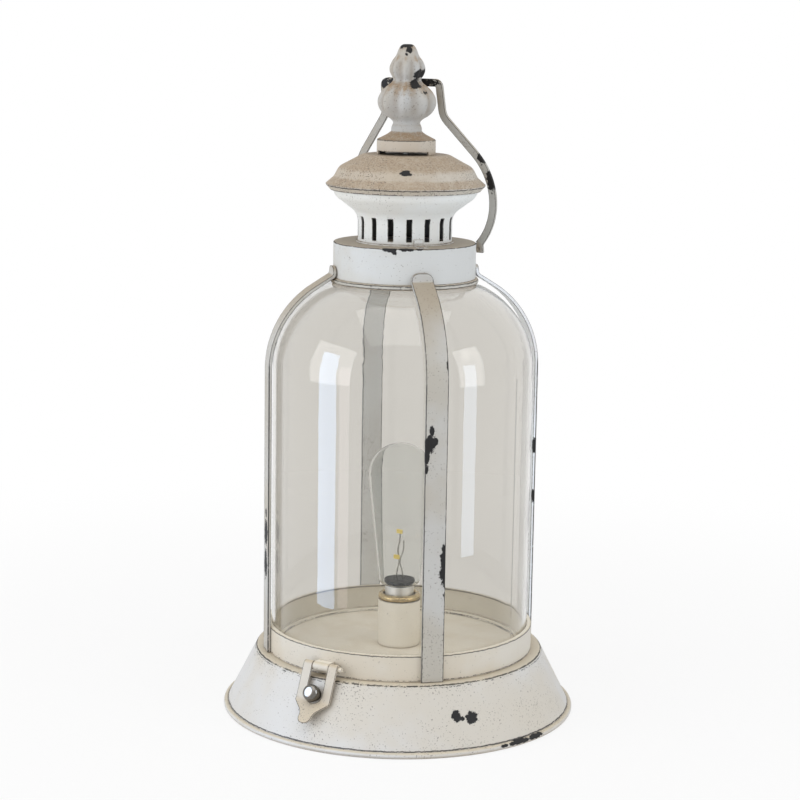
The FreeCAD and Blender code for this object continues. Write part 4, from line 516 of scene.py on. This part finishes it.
def lobed_finial():
    """The cast finial as it looks under its paint: soft ridges that fade into the waist and the tip."""
    outline = FINIAL_OUTLINE
    for _ in range(OUTLINE_ROUNDS):
        outline = rounded(outline)
    mesh = bmesh.new()
    rings = []
    for radius, level, stand in outline[:-1]:
        ring = []
        for point in range(POINTS_AROUND):
            angle = 2 * math.pi * point / POINTS_AROUND
            ridge = (0.5 + 0.5 * math.cos(RIDGES * (angle - FIRST_RIDGE))) ** RIDGE_SHARPNESS
            reach = radius - VALLEY_DEPTH * stand * (1 - ridge)
            ring.append(mesh.verts.new((reach * math.cos(angle) / 1000, reach * math.sin(angle) / 1000,
                                        (FINIAL_FOOT + level) / 1000)))
        rings.append(ring)
    tip = mesh.verts.new((0, 0, FINIAL_TIP / 1000))
    foot = mesh.verts.new((0, 0, FINIAL_FOOT / 1000))
    for point in range(POINTS_AROUND):
        after = (point + 1) % POINTS_AROUND
        for low, high in zip(rings, rings[1:]):
            mesh.faces.new((low[point], low[after], high[after], high[point]))
        mesh.faces.new((rings[-1][point], rings[-1][after], tip))
        mesh.faces.new((rings[0][after], rings[0][point], foot))
    for face in mesh.faces:
        face.smooth = True
    data = bpy.data.meshes.new("finial_cast")
    mesh.to_mesh(data)
    mesh.free()
    data.materials.append(finial_paint)
    piece = bpy.data.objects.new("finial_cast", data)
    scene.collection.objects.link(piece)
    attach(piece, "cage")
    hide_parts("finial")


lobed_finial()

# ---------------------------------------------------------------- floor and background
FLOOR_REACH = 9
FLOOR_COLOUR = (0.86, 0.86, 0.86)
WHITE = (1.0, 1.0, 1.0)
AMBIENT = 0.58
# the floor shows its plain white by this share near the lamp and all of it beyond, in metres
NEAR_SHARE = 0.80
SHADOW_REACH = (0.22, 0.85)


def floor_shader(name):
    """Pale floor that keeps the lamp's shadow and is plain white further out."""
    s = material_shader(name)
    far = s.step(s.vector("LENGTH", s.place), *SHADOW_REACH)
    share = far * (1 - NEAR_SHARE) + NEAR_SHARE
    return s.show(s.blend(s.background_rays() * share, s.plain("BsdfDiffuse", FLOOR_COLOUR),
                          s.plain("Emission", WHITE, 1.0)))


floor_mesh = bpy.data.meshes.new("floor")
floor_corners = [(side * FLOOR_REACH, depth * FLOOR_REACH, 0) for side, depth in ((-1, -1), (1, -1), (1, 1), (-1, 1))]
floor_mesh.from_pydata(floor_corners, [], [(0, 1, 2, 3)])
floor = bpy.data.objects.new("floor", floor_mesh)
scene.collection.objects.link(floor)
floor_mesh.materials.append(floor_shader("floor_white"))

scene.world = bpy.data.worlds.new("studio")
sky = Shader(scene.world, "OutputWorld")
sky.show(sky.blend(sky.background_rays(), sky.plain("Background", WHITE, AMBIENT),
                   sky.plain("Background", WHITE, 1.0)))


# ---------------------------------------------------------------- lights
def area_light(name, place, aim, width, tall, energy):
    data = bpy.data.lights.new(name, "AREA")
    data.shape = "RECTANGLE"
    data.size, data.size_y, data.energy = width, tall, energy
    lamp = bpy.data.objects.new(name, data)
    lamp.location = place
    lamp.rotation_mode = "QUATERNION"
    lamp.rotation_quaternion = (aim - place).to_track_quat("-Z", "Y")
    scene.collection.objects.link(lamp)
    return lamp


def soft_light(name, side, height, reach, width, tall, power):
    """A soft box at an angle in degrees to the right of the camera, seen from the lamp."""
    angle = math.radians(side)
    away = to_camera * math.cos(angle) + right * math.sin(angle)
    area_light(name, away * reach + up_axis * height, Vector((0, 0, 0.25)), width, tall, power)


def pane(name, ends, foot, head, colour, radiance):
    """A tall lit pane beside the lamp, seen only as a reflection: ends are (to the right, to the camera)."""
    start, end = (right * across + to_camera * near for across, near in ends)
    middle = (start + end) / 2 + up_axis * (foot + head) / 2
    width, tall = (end - start).length, head - foot
    lamp = area_light(name, middle, Vector((0, 0, middle.z)), width, tall, radiance * math.pi * width * tall)
    lamp.data.color = colour
    lamp.visible_camera = False
    lamp.visible_diffuse = False
    lamp.visible_transmission = False


soft_light("window_left", -66, 0.45, 1.5, 1.15, 1.3, 9.5)
soft_light("window_right", 61, 0.55, 1.6, 0.7, 1.2, 5.5)
soft_light("sky_panel", 0, 2.2, 0.6, 2.2, 2.2, 17)
pane("pane_left", ((-0.403, 0.151), (-0.340, 0.257)), 0.001, 0.42, (0.48, 0.68, 1.0), 8)
pane("pane_left_far", ((-0.329, 0.275), (-0.296, 0.331)), 0.001, 0.34, (1.0, 0.86, 0.90), 2.2)
pane("pane_right", ((0.372, 0.212), (0.328, 0.284)), 0.05, 0.36, (0.66, 0.80, 1.0), 5)
